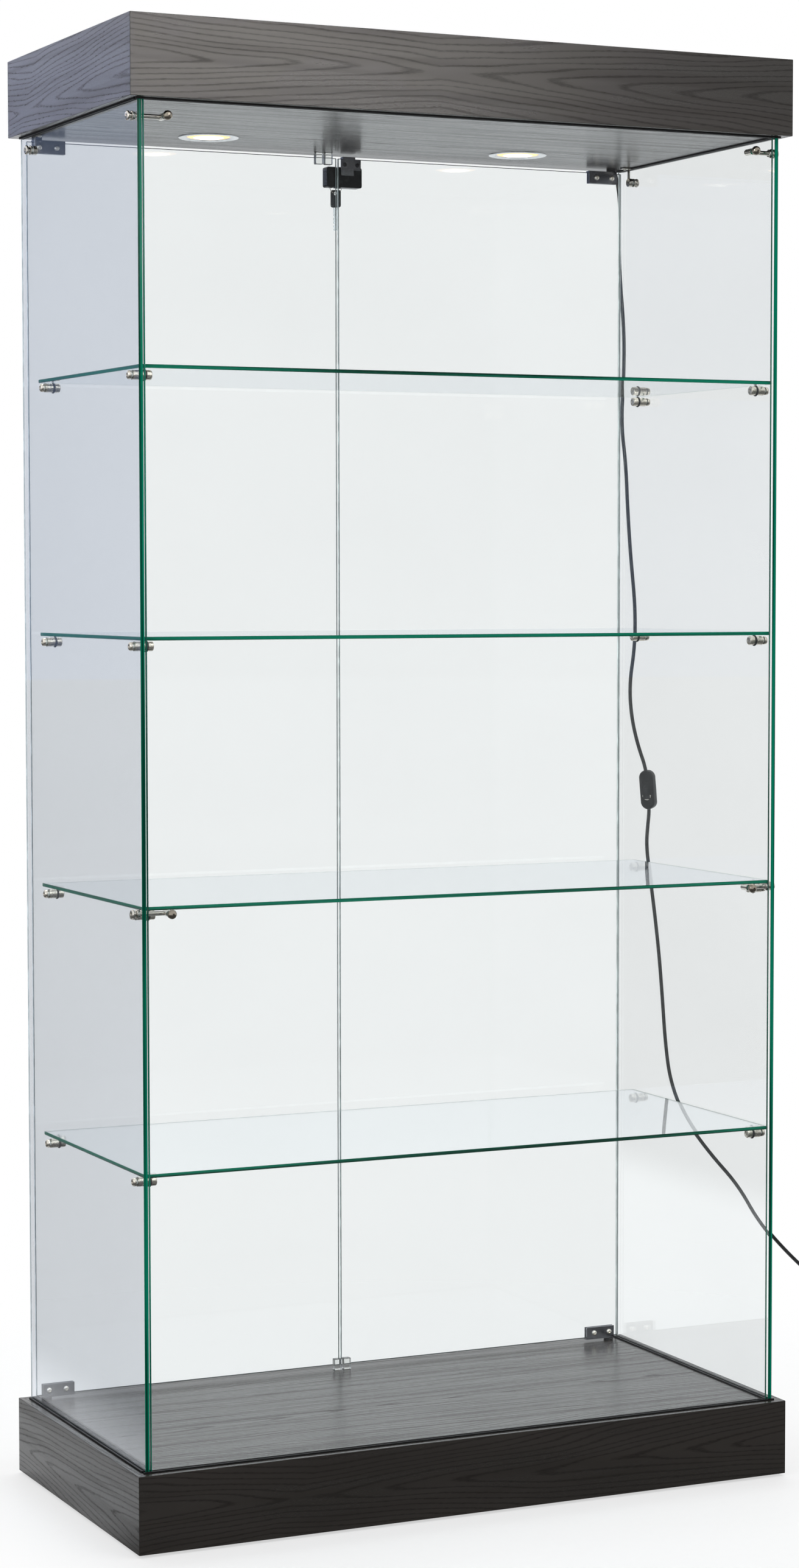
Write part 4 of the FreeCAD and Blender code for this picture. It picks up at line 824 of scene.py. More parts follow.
# Lamps that lay a sheen on the boards, and lamps that light all: name, place, target and
# size in metres, power in watts, and tint.
SHEEN_LAMPS = (
    ("front_softbox", (0.5, -3.4, 2.5), (0, 0, 2.0), (2.1, 1.2), 28, (1.0, 0.96, 0.93)),
    ("left_softbox", (-2.0, 4.2, 2.63), (-0.5, 0, 2.0), (2.0, 1.2), 6.5, (0.66, 0.71, 1.0)),
)
STUDIO_LAMPS = (
    ("key_softbox", (1.4, -2.6, 4.0), (0, 0, 0.9), (1.6, 1.6), 26, (1.0, 0.98, 0.96)),
    ("fill_softbox", (-3.6, -1.6, 2.6), (0, 0, 0.9), (2.0, 2.0), 48, (0.94, 0.97, 1.0)),
    ("top_softbox", (0.4, 0.8, 4.2), (0, 0, 0.6), (3.0, 3.0), 85, (1.0, 1.0, 1.0)),
)

# The photograph's viewpoint: metres, degrees, millimetres and shares of the picture.
CAMERA_PLACE = (-2.0984, -4.5518, 1.3077)
CAMERA_TURN = (86.35, 0.03, -25.51)
CAMERA_LENS = 79.97
CAMERA_SHIFT = (-0.030, 0.0094)


class DISPLAY_CASE_OT_stage(bpy.types.Operator):
    """Set up the white studio, its lamps and the camera"""

    bl_idname = "display_case.stage"
    bl_label = "Studio"

    def execute(self, context):
        scene = context.scene
        scene.view_settings.view_transform = "Standard"
        self.surround(scene)
        self.floor()
        for lamp in SHEEN_LAMPS:
            self.softbox(*lamp).visible_diffuse = False
        for lamp in STUDIO_LAMPS:
            self.softbox(*lamp)
        self.camera(scene)
        return {"FINISHED"}

    def light_path(self, tree):
        """Whether a ray shows its surface to the camera, and whether it was mirrored on the way."""
        path = put(tree, "ShaderNodeLightPath").outputs
        seen = maths(tree, "MAXIMUM", path["Is Camera Ray"], path["Is Transmission Ray"])
        seen = maths(tree, "MAXIMUM", seen, path["Is Glossy Ray"])
        mirrored = maths(tree, "MINIMUM", path["Glossy Depth"], 1.0)
        return seen, mirrored

    def towards_drape(self, tree, way):
        """How far a direction points to the front drape: 1 straight at it, -1 straight away."""
        links = {0: way, 1: DRAPE}
        return put(tree, "ShaderNodeVectorMath", links, operation="DOT_PRODUCT").outputs["Value"]

    def surround(self, scene):
        """A white surround, with two low dark drapes that only mirrors show."""
        world = bpy.data.worlds.new("Studio surround")
        scene.world = world
        world.use_nodes = True
        tree = world.node_tree
        background = tree.nodes["Background"]
        seen, mirrored = self.light_path(tree)
        way = put(tree, "ShaderNodeTexCoord").outputs["Generated"]
        facing = self.towards_drape(tree, way)
        rise = put(tree, "ShaderNodeSeparateXYZ", {0: way}).outputs["Z"]
        low = maths(tree, "MULTIPLY", mirrored, ramped(tree, rise, *DRAPE_TOP, 1.0, 0.0))
        edge, inside = DRAPE_SIDE
        front = maths(tree, "MULTIPLY", low, ramped(tree, facing, edge, inside))
        back = maths(tree, "MULTIPLY", low, ramped(tree, facing, -edge, -inside))
        tint = blended(tree, mirrored, tuple(finishes().surround), MIRRORED_WHITE)
        tint = blended(tree, back, tint, BACK_DRAPE)
        tree.links.new(tint, background.inputs["Color"])
        shown = maths(tree, "MULTIPLY_ADD", front, -FRONT_DRAPE_SHARE, 1.0 - AMBIENT)
        shown = maths(tree, "MULTIPLY_ADD", back, -BACK_DRAPE_SHARE, shown)
        strength = maths(tree, "MULTIPLY_ADD", seen, shown, AMBIENT)
        tree.links.new(strength, background.inputs["Strength"])

    def floor(self):
        """A pale floor that keeps the shadow near the case and runs out to white."""
        deselect()
        bpy.ops.mesh.primitive_circle_add(vertices=128, radius=FLOOR_RADIUS, fill_type="NGON")
        floor = bpy.context.object
        floor.name = "studio_floor"
        material, tree, shader, place = new_material("Studio floor")
        speck = stretched(tree, place, (60.0, 60.0, 60.0), Detail=4.0)
        ground = blended(tree, speck, (0.82, 0.82, 0.825, 1), (0.86, 0.86, 0.86, 1))
        tree.links.new(ground, shader.inputs["Base Color"])
        even(shader, Roughness=0.6)
        seen, mirrored = self.light_path(tree)
        reach = put(tree, "ShaderNodeVectorMath", {0: place}, operation="LENGTH").outputs["Value"]
        far = ramped(tree, reach, *SHADOW_END)
        apart = put(tree, "ShaderNodeSeparateXYZ", {0: place}).outputs
        lift = ramped(tree, apart["X"], *LIFT_X, *LIFT_SHARE)
        lifted = maths(tree, "MAXIMUM", far, maths(tree, "MULTIPLY", seen, lift))
        lifted = maths(tree, "MULTIPLY", lifted, maths(tree, "SUBTRACT", 1.0, mirrored))
        dark = maths(tree, "MULTIPLY", mirrored, self.floor_drape(tree, place, reach, apart))
        share = maths(tree, "MAXIMUM", lifted, dark)
        share = maths(tree, "MAXIMUM", share, maths(tree, "MULTIPLY", mirrored, far))
        strength = maths(tree, "MULTIPLY_ADD", dark, -FLOOR_DRAPE_SHARE, 1.0)
        tint = blended(tree, mirrored, tuple(finishes().surround), MIRRORED_WHITE)
        white = put(tree, "ShaderNodeEmission", {"Color": tint, "Strength": strength})
        links = {0: share, 1: shader.outputs[0], 2: white.outputs[0]}
        mix = put(tree, "ShaderNodeMixShader", links)
        tree.links.new(mix.outputs[0], tree.nodes["Material Output"].inputs["Surface"])
        coat(floor, material)

    def floor_drape(self, tree, place, reach, apart):
        """Where the floor is dark in mirrors: near the front and left, and below the drapes."""
        behind_x = ramped(tree, apart["X"], *BEHIND_X)
        behind = maths(tree, "MULTIPLY", ramped(tree, apart["Y"], *BEHIND_Y), behind_x)
        outward = put(tree, "ShaderNodeVectorMath", {0: place}, operation="NORMALIZE").outputs[0]
        facing = maths(tree, "ABSOLUTE", self.towards_drape(tree, outward))
        below = ramped(tree, facing, *FLOOR_DRAPE_SIDE)
        below = maths(tree, "MAXIMUM", below, ramped(tree, reach, *NEAR_FLOOR, 1.0, 0.0))
        return maths(tree, "MULTIPLY", maths(tree, "SUBTRACT", 1.0, behind), below)

    def softbox(self, name, place, target, size, power, tint):
        """An area lamp turned to a target, in metres and watts, that the glass doesn't mirror."""
        deselect()
        bpy.ops.object.light_add(type="AREA", location=place)
        lamp = bpy.context.object
        lamp.name = name
        lamp.rotation_euler = (Vector(target) - Vector(place)).to_track_quat("-Z", "Y").to_euler()
        lamp.data.shape = "RECTANGLE"
        lamp.data.size, lamp.data.size_y = size
        lamp.data.energy = power
        lamp.data.color = tint
        lamp.data.cycles.use_multiple_importance_sampling = False
        return lamp

    def camera(self, scene):
        """The photograph's viewpoint: left of the front, at chest height, looking slightly down."""
        deselect()
        bpy.ops.object.camera_add(location=CAMERA_PLACE)
        camera = bpy.context.object
        camera.rotation_euler = [math.radians(angle) for angle in CAMERA_TURN]
        camera.data.lens = CAMERA_LENS
        camera.data.sensor_width = 36
        camera.data.shift_x, camera.data.shift_y = CAMERA_SHIFT
        scene.camera = camera


# The lead's points in millimetres, from the gland to the switch, to the floor and to the coil.
LEAD_ROUTE = [
    (481, 261, 1981), (481, 261, 1950), (494, 262, 1906), (497, 261, 1840), (500, 262, 1772),
    (508, 262, 1690), (507, 261, 1618), (503, 262, 1545), (511, 261, 1484), (515, 262, 1412),
    (520, 261, 1338), (529, 262, 1262), (528, 261, 1198), (519, 262, 1140), (522, 261, 1088),
    (534, 261, 1042), (550, 261, 1002), (555, 261, 943), (552, 261, 915), (550, 262, 884),
    (556, 261, 838), (565, 262, 780), (573, 261, 712), (580, 262, 640), (585, 261, 568),
    (595, 262, 505), (622, 261, 443), (668, 262, 385), (720, 261, 330), (758, 262, 268),
    (808, 261, 214), (860, 262, 168), (878, 263, 142), (894, 263, 116), (909, 267, 66),
    (918, 278, 26), (921, 300, 4.3),
]
COIL_CENTRE = (961, 326)
COIL_RADIUS = 40
COIL_PITCH = 6.6
COIL_TURNS = 3.5
COIL_LOW = 4.3
COIL_LAYER = 6.7
COIL_STEPS = 16
LEAD_TAIL = [(1001, 314, 11), (1001, 300, 11)]
LAMP_LEAD = [(60, 118, 1961), (98, 118, 1961), (136, 113, 1956), (174, 118, 1961), (212, 118, 1961)]
CANOPY_LEAD = [
    (60, 130, 1961), (128, 130, 1961), (246, 164, 1961), (328.25, 171.1, 1978.15),
    (410.5, 175.7, 1995.3), (481, 170, 2010), (481, 238, 2010),
]
# Fittings on the leads, in millimetres and degrees.
LAMP_LEAD_RADIUS = 2.5
CANOPY_LEAD_RADIUS = 3
GLAND_Z = 2010
GLAND_BOOT = 20
SWITCH_SIZE = (24, 62)
SWITCH_SLOT = (5.7, 14.5)
SWITCH_PLACE = (552.6, 261, 972.5)
SWITCH_TILT = -5
SWITCH_TURN = -55
ROCKER_PIVOT = 3
ROCKER_REST = -7
ROCKER_RIBS = 6
PLUG_BOOT = 14
BLADE_THICKNESS = 1.5


def coil_points():
    """Turns of the put-away coil: inwards, up a layer, and outwards."""
    points = []
    for step in range(round(COIL_TURNS * COIL_STEPS) + 1):
        turns = step / COIL_STEPS
        radius = COIL_RADIUS - COIL_PITCH * min(turns, COIL_TURNS - turns)
        climb = min(max((turns - COIL_TURNS / 2) * 2 + 0.5, 0), 1)
        height = COIL_LOW + COIL_LAYER * (1 - math.cos(math.pi * climb)) / 2
        angle = math.pi - 2 * math.pi * turns
        x = COIL_CENTRE[0] + radius * math.cos(angle)
        y = COIL_CENTRE[1] + radius * math.sin(angle)
        points.append((x, y, height))
    return points


def smooth_line(name, points):
    """A curve of one smooth spline, with points in millimetres as its control points."""
    curve = bpy.data.curves.new(name, "CURVE")
    curve.dimensions = "3D"
    curve.resolution_u = sizes().lead_steps
    spline = curve.splines.new("NURBS")
    spline.points.add(len(points) - 1)
    for point, place in zip(spline.points, points):
        point.co = (*(Vector(place) * MM), 1)
    spline.order_u = 3
    spline.use_endpoint_u = True
    line = bpy.data.objects.new(name, curve)
    bpy.context.collection.objects.link(line)
    return line


def line_points(line):
    """Points along a smooth line as Blender divides it, and the length along them, in metres."""
    trace = bpy.data.meshes.new_from_object(line)
    path = [v.co.copy() for v in trace.vertices]
    bpy.data.meshes.remove(trace)
    return path, sum((b - a).length for a, b in zip(path, path[1:]))


def twin_section():
    """Section of a flat twin lead: two round cores side by side, in metres."""
    thick = sizes().lead_thickness / 2
    centre = sizes().lead_width / 2 - thick
    section = []
    for side in SIDES:
        for angle in (-125, -80, -40, 0, 40, 80, 125):
            turn = math.radians(angle)
            across = centre + thick * math.cos(turn)
            section.append((-side * across, -side * thick * math.sin(turn)))
    return section


def flat_lead(name, path):
    """A flat twin lead along a path, its section carried along without twisting."""
    section = twin_section()
    count = len(section)
    points = []
    across = Vector((1, 0, 0))
    for i, place in enumerate(path):
        ahead = (path[min(i + 1, len(path) - 1)] - path[max(i - 1, 0)]).normalized()
        across = (across - ahead * across.dot(ahead)).normalized()
        up = ahead.cross(across)
        points += [place + across * x + up * y for x, y in section]
    faces = [tuple(range(count))[::-1]]
    for ring in range(len(path) - 1):
        start = ring * count
        for i in range(count):
            j = (i + 1) % count
            faces.append((start + i, start + j, start + count + j, start + count + i))
    faces.append(tuple(range(len(points) - count, len(points))))
    mesh = bpy.data.meshes.new(name)
    mesh.from_pydata(points, [], faces)
    lead = bpy.data.objects.new(name, mesh)
    bpy.context.collection.objects.link(lead)
    begin_edit(lead)
    end_edit()
    return lead


def boot_ribs(count, heights, widths, steps, groove=0.9):
    """Rings of a tapered boot's ribs in millimetres: each has a groove, a flank and a crown."""
    foot, pitch = heights
    radius, taper = widths
    floor, shoulder, top = steps
    rings = []
    for i in range(count):
        start = foot + pitch * i
        crown = radius - taper * i
        rings += [(crown - groove, start), (crown - groove, start + floor)]
        rings += [(crown, start + shoulder), (crown, start + top)]
    return rings


class DISPLAY_CASE_OT_mains_lead(bpy.types.Operator):
    """Make the mains lead with its gland, switch, coil tie and plug"""

    bl_idname = "display_case.mains_lead"
    bl_label = "Mains lead"

    def execute(self, context):
        line = smooth_line("lead_line", LEAD_ROUTE + coil_points() + LEAD_TAIL)
        path, length = line_points(line)
        bpy.data.objects.remove(line)
        lead = coat(flat_lead("mains_lead", path), sheath())
        fit(lead, "mains_lead", "cord_upper", 60)
        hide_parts("cord_lower", "cord_coil")
        riders = [*self.switch(), self.tie(), *self.plug()]
        self.gland()
        return {"FINISHED"}

    def switch(self):
        """The in-line switch: two shells with a seam between them, a ribbed rocker, and a silver
        crescent below the rocker that is a painted highlight.
        """
        seat = Matrix.Translation(Vector(SWITCH_PLACE) * MM)
        seat = seat @ Matrix.Rotation(math.radians(SWITCH_TILT), 4, "Y")
        seat = seat @ Matrix.Rotation(math.radians(SWITCH_TURN), 4, "Z")
        upright = Matrix.Rotation(math.radians(90), 4, "X")
        front_layers = [(0, 0.3), (0.3, 0), (4.6, 0), (6.0, 0.5), (6.7, 1.3), (7, 2.4)]
        wide, tall = SWITCH_SLOT
        front = stadium(*SWITCH_SIZE, front_layers)
        front = bored(front, slab((-wide, -tall, -1), (wide, tall, 8)))
        # A silver crescent left below the rocker's slot: a painted highlight on the recess's lower
        # rim.
        rim = stadium(14.4, 32, [(6.6, 0), (7.1, 0), (7.3, 0.3)])
        rim = bored(rim, slab((-wide, -tall, 6), (wide, tall, 8)))
        rim = bored(rim, slab((-8, -8, 6), (8, 17, 8)))
        front = joined([coat(rim, highlight_silver()), coat(front, gloss_plastic())])
        back_layers = [
            (-8, 4.2), (-7.6, 2.4), (-6.6, 1.0), (-5, 0.2), (-3, 0), (-0.3, 0), (0, 0.3),
        ]
        back = coat(stadium(*SWITCH_SIZE, back_layers), gloss_plastic())
        rocker = slab((-5.2, -13.5, 2), (5.2, 13.5, 9.5))
        begin_edit(rocker)
        bpy.ops.mesh.bisect(plane_co=(0, 0, 0), plane_no=(0, 1, 0))
        pick(rocker, "EDGE", lambda e: all(abs(v.co.y) < TINY and v.co.z > 8 * MM for v in e.verts))
        bpy.ops.transform.translate(value=(0, 0, -1.1 * MM))
        end_edit()
        rocker = eased(rocker, 0.7, 3, 20)
        ribs = []
        for i in range(ROCKER_RIBS):
            y = 3.4 + 1.5 * i
            rib = slab((-3.6, y, 7.6), (3.6, y + 0.7, 8.85 + 0.11 * i))
            ribs.append(eased(rib, 0.25, 2))
        rocker = coat(joined([*ribs, rocker]), gloss_plastic())
        pivot = Matrix.Translation(Vector((0, -ROCKER_PIVOT * MM, 0)))
        tilt = pivot @ Matrix.Rotation(math.radians(ROCKER_REST), 4, "X") @ pivot.inverted()
        return [
            fit(moved(front, seat @ upright), "switch_front", "switch_front_shell"),
            fit(moved(back, seat @ upright), "switch_back", "switch_back_shell"),
            fit(moved(rocker, seat @ tilt @ upright), "ribbed_rocker", "switch_rocker"),
        ]

    def tie(self):
        """The flat tie round the coil."""
        return fit(coat(eased(from_cad("coil_tie"), 0.3), rubber()), "coil_band", "coil_tie")

    def plug(self):
        """The two-blade plug with finger grips and a ribbed boot."""
        low, high = (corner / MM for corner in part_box("plug_body"))
        middle = (low + high) / 2
        boot_foot = high.y - PLUG_BOOT
        body = slab(low, (high.x, boot_foot, high.z))
        begin_edit(body)
        pick(body, "EDGE", lambda e: abs((e.verts[0].co - e.verts[1].co).normalized().y) > 0.9)
        bpy.ops.mesh.bevel(offset=6 * MM, segments=4, affect="EDGES")
        pick(body, "FACE", lambda f: abs(f.normal.x) > 0.99)
        bpy.ops.mesh.inset(thickness=1.8 * MM, use_individual=True)
        bpy.ops.transform.resize(value=(0.94, 1, 1), center_override=middle * MM)
        end_edit()
        body = eased(body, 0.7, 3, 25)
        ribs = boot_ribs(4, (2.6, 2.7), (5.7, 0.35), (0.7, 1.1, 2.3))
        rings = [(6.4, 0), (6.2, 2), *ribs, (3.9, 13.6), (3.4, PLUG_BOOT)]
        boot = moved(turned(rings), aim((middle.x, boot_foot, middle.z), (0, 1, 0)))
        body = coat(joined([boot, body]), rubber())
        low, high = (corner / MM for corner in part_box("plug_blades"))
        tip = (low.y + 0.5) * MM

        def at_tip(edge):
            first, second = (v.co for v in edge.verts)
            return max(first.y, second.y) < tip and abs(first.z - second.z) < TINY

        blades = []
        for x in (low.x, high.x - BLADE_THICKNESS):
            blade = slab((x, low.y, low.z), (x + BLADE_THICKNESS, high.y, high.z))
            begin_edit(blade)
            pick(blade, "EDGE", at_tip)
            bpy.ops.mesh.bevel(offset=2.2 * MM, segments=4, affect="EDGES")
            end_edit()
            hole = turned([(1.6, -3), (1.6, 3)], 20)
            hole = moved(hole, aim((x, low.y + 4.5, middle.z), (1, 0, 0)))
            blades.append(eased(bored(blade, hole), 0.15, 1))
        brass = metal("Brass blade", (0.78, 0.6, 0.3, 1), 0.18, 0.36, scale=200.0)
        return [
            fit(body, "ribbed_plug", "plug_body"),
            fit(coat(joined(blades), brass), "brass_blades", "plug_blades"),
        ]

    def gland(self):
        """The strain relief on the back board: collar, elbow and tapered ribbed boot."""
        x, y = LEAD_ROUTE[0][:2]
        collar = turned([(5, -12), (5, 0), (9, 0), (9, 1.3), (8.3, 2)])
        collar = moved(collar, aim((x, BACK_FACE, GLAND_Z), (0, 1, 0)))
        half = 5.6
        elbow = slab((x - half, BACK_FACE, GLAND_Z - 9.5), (x + half, y + half, GLAND_Z + half))
        elbow = eased(elbow, 4.4, 4)
        ribs = boot_ribs(5, (2.4, 3.2), (5.2, 0.25), (0.8, 1.3, 2.8))
        rings = [(5.4, 0), (5.4, 2), *ribs, (3.9, 19.2), (3.5, GLAND_BOOT)]
        boot = moved(turned(rings), aim((x, y, GLAND_Z - 9), (0, 0, -1)))
        return fit(coat(joined([collar, elbow, boot]), rubber()), "ribbed_gland", "cord_gland")


class DISPLAY_CASE_OT_carcass(bpy.types.Operator):
    """Finish the plinth and the canopy"""

    bl_idname = "display_case.carcass"
    bl_label = "Plinth and canopy"

    def execute(self, context):
        ease = sizes().board_ease / MM
        for storey in ("plinth", "canopy"):
            for side in ("front", "back", "left", "right"):
                node = f"{storey}_{side}_board"
                finish = side_laminate() if side in ("left", "right") else long_laminate()
                fit(coat(eased(from_cad(node), ease), finish), f"{storey}_{side}_laminate", node)
        for node in ("plinth_deck", "ceiling_panel"):
            fit(coat(eased(from_cad(node), ease / 2), long_laminate()), f"{node}_laminate", node)
        fibre = sawn_wood(
            "Hardboard", (0.17, 0.1, 0.055, 1), (0.12, 0.07, 0.04, 1), (60.0, 60.0, 60.0)
        )
        dust_panel = coat(eased(from_cad("canopy_dust_panel"), 0.5), fibre)
        fit(dust_panel, "hardboard_dust_panel", "canopy_dust_panel")
        pine = sawn_wood(
            "Sawn pine", (0.6, 0.43, 0.26, 1), (0.46, 0.3, 0.16, 1), (9.0, 9.0, 160.0)
        )
        fit(coat(eased(from_cad("framing_battens"), 1.0), pine), "pine_battens", "framing_battens")
        glide = turned([(12.2, 0), (13.4, 0.4), (14, 1.2), (14, 2.8), (13.2, 3.6), (11, 4)])
        glide_x, glide_y = 465.5, 215.5
        corners = [aim((x * glide_x, y * glide_y, 0), (0, 0, 1)) for x in SIDES for y in SIDES]
        fit(coat(copies(glide, corners), black_plastic()), "floor_glides", "plinth_glides")
        return {"FINISHED"}


# A pane's finishes in the order of its slots, and how they part: by how squarely a side faces the
# pane's axis, or the back, and by how far back it lies, in metres. The rear edges carry a painted
# highlight, and their arrises painted shade.
PANE_FACE, GREEN_EDGE, HIGHLIGHT_EDGE, SHADED_ARRIS = range(4)
FACE_LEAN = 0.9
ARRIS_LEAN = 0.1
BACK_LEAN = 0.6
BACK_START = 0.2


def glazed(node, name, axis, glass):
    """A pane copied from its CAD node, with green edges, and rear edges and arrises painted with
    highlight and shade.
    """
    edge = level_edge() if axis == Z else upright_edge()
    pane = eased(from_cad(node), sizes().glass_arris / MM, 1)
    coat(pane, glass, edge, highlight_edge(), shaded_arris())
    for face in pane.data.polygons:
        lean = abs(face.normal[axis])
        if lean > FACE_LEAN:
            face.material_index = PANE_FACE
        elif face.center.y > BACK_START or face.normal.y > BACK_LEAN:
            # Rear edges get a painted highlight, their arrises painted shade.
            face.material_index = SHADED_ARRIS if lean > ARRIS_LEAN else HIGHLIGHT_EDGE
        else:
            face.material_index = GREEN_EDGE
    return fit(pane, name, node, 20)


class DISPLAY_CASE_OT_glazing(bpy.types.Operator):
    """Finish the fixed glass, the shelves and the glazing channels"""

    bl_idname = "display_case.glazing"
    bl_label = "Glass and channels"

    def execute(self, context):
        for storey in ("base", "top"):
            node = f"{storey}_glazing_channels"
            fit(coat(eased(from_cad(node), 0.5), channel_black()), f"{storey}_channels", node)
        glazed("front_glass", "front_pane", Y, clear_glass())
        glazed("left_glass", "left_pane", X, left_glass())
        glazed("right_glass", "right_pane", X, right_glass())
        for number in SHELVES:
            glazed(f"shelf_{number}", f"glass_shelf_{number}", Z, clear_glass())
        return {"FINISHED"}


class DISPLAY_CASE_OT_shelf_pins(bpy.types.Operator):
    """Make the pins that carry the shelves"""

    bl_idname = "display_case.shelf_pins"
    bl_label = "Shelf pins"

    front_inset: FloatProperty(
        name="Front inset", description="Front pin behind the shelf's front, in mm", default=23.5
    )
    rear_inset: FloatProperty(
        name="Rear inset", description="Rear pin ahead of the shelf's rear, in mm", default=30.5
    )
    drop: FloatProperty(
        name="Drop", description="Pin's axis below the shelf's underside, in mm", default=8
    )

    def execute(self, context):
        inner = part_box("right_glass")[0].x / MM
        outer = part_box("right_glass")[1].x / MM
        inwards = []
        outwards = []
        for number in SHELVES:
            low, high = (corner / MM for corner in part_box(f"shelf_{number}"))
            for y in (low.y + self.front_inset, high.y - self.rear_inset):
                z = low.z - self.drop
                for side in SIDES:
                    inwards.append(aim((side * inner, y, z), (-side, 0, 0)))
                    outwards.append(aim((side * outer, y, z), (side, 0, 0)))
        barrel = turned([
            (3, -6), (3, 0), (6.3, 0), (6.5, 0.3), (6.5, 11), (5.8, 11.4), (5.8, 14), (6.5, 14.4),
            (6.5, 20.7), (6.2, 21.5), (5.4, 22), (3.2, 22), (2.8, 21.4),
        ])
        fit(coat(copies(barrel, inwards), nickel()), "pin_barrels", "shelf_pin_barrels")
        ring = ring_of(6.75, 1.25, (36, 12), (0, 0, 12.7))
        fit(coat(copies(ring, inwards), rubber()), "pin_rings", "shelf_pin_o_rings")
        cap = turned([
            (5.5, 0), (5.8, 0.4), (5.8, 2.4), (5.4, 3.7), (4.5, 4.6), (3.2, 5), (2.2, 5),
            (1.9, 4.3),
        ])
        fit(coat(copies(cap, outwards), nickel()), "pin_caps", "shelf_pin_caps")
        return {"FINISHED"}


class DISPLAY_CASE_OT_connectors(bpy.types.Operator):
    """Make the bars, balls, spools and hangers that hold the glass together"""

    bl_idname = "display_case.connectors"
    bl_label = "Glass connectors"

    def execute(self, context):
        levels = (860.5, 1910)
        bar_y = -217
        hanger_y = 193.5
        foot_z = CEILING - 2
        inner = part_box("right_glass")[0].x / MM
        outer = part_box("right_glass")[1].x / MM
        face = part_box("front_glass")[0].y / MM
        rod_end = 34
        post_x = inner - rod_end
        spots = [(side, z) for side in SIDES for z in levels]
        rod = turned([(3, -6), (3, 0), (5.4, 0), (5.4, 1.1), (5, 1.6), (3.25, 2), (3.25, rod_end)])
        rods = copies(rod, [aim((s * inner, bar_y, z), (-s, 0, 0)) for s, z in spots])
        post = turned([(3.6, 0), (4.3, 0.3), (4.5, 0.9), (4.5, 17), (3, 17), (3, 23)])
        posts = copies(post, [aim((s * post_x, bar_y + 5, z), (0, -1, 0)) for s, z in spots])
        fit(coat(joined([rods, posts]), chrome()), "corner_bars", "corner_connector_bars")
        ball = 6.5
        ball_middle = 6
        ball_rings = [(4.2, 0), (4.2, 1.0)]
        for angle in range(-50, 81, 10):
            turn = math.radians(angle)
            ball_rings.append((ball * math.cos(turn), ball_middle + ball * math.sin(turn)))
        places = [aim((s * post_x, face, z), (0, -1, 0)) for s, z in spots]
        balls = copies(turned(ball_rings), places)
        # The ball heads' plating is darkened as painted shade.
        fit(coat(balls, shaded_chrome()), "corner_balls", "corner_ball_heads")
        spool = turned([
            (6.1, 0), (6.5, 0.4), (6.5, 1.7), (6.1, 2.1), (4.4, 2.8), (4.3, 4.4), (6.1, 5.3),
            (6.5, 5.8), (6.5, 7.2), (6.1, 8.1), (5.2, 8.8), (4.3, 9), (2.4, 9), (2.2, 8.2),
        ])
        places = [aim((s * outer, bar_y, z), (s, 0, 0)) for s, z in spots]
        places += [aim((s * outer, hanger_y, levels[1]), (s, 0, 0)) for s in SIDES]
        fit(coat(copies(spool, places), chrome()), "side_spools", "side_glass_heads")
        parts = []
        for s in SIDES:
            eye = turned([(3, -6), (3, 0), (6.1, 0), (6.5, 0.4), (6.5, 5.4), (6, 6)])
            parts.append(moved(eye, aim((s * inner, hanger_y, levels[1]), (-s, 0, 0))))
            near, far = sorted((s * (inner - 3.5), s * (inner - 5.5)))
            strap = slab((near, hanger_y - 2.5, levels[1]), (far, hanger_y + 2.5, CEILING))
            parts.append(eased(strap, 0.4))
            near, far = sorted((s * (inner - 3.5), s * (inner - 17)))
            foot = slab((near, hanger_y - 5, foot_z), (far, hanger_y + 5, CEILING))
            parts.append(eased(foot, 0.5))
            head = turned([(2.8, 0), (2.8, 0.4), (2.3, 1.1), (1.2, 1.5)], 20)
            parts.append(moved(head, aim((s * (inner - 11.5), hanger_y, foot_z), (0, 0, -1))))
        fit(coat(joined(parts), chrome()), "rear_hangers", "rear_hanger_straps")
        return {"FINISHED"}


LAMP_SIDES = 64


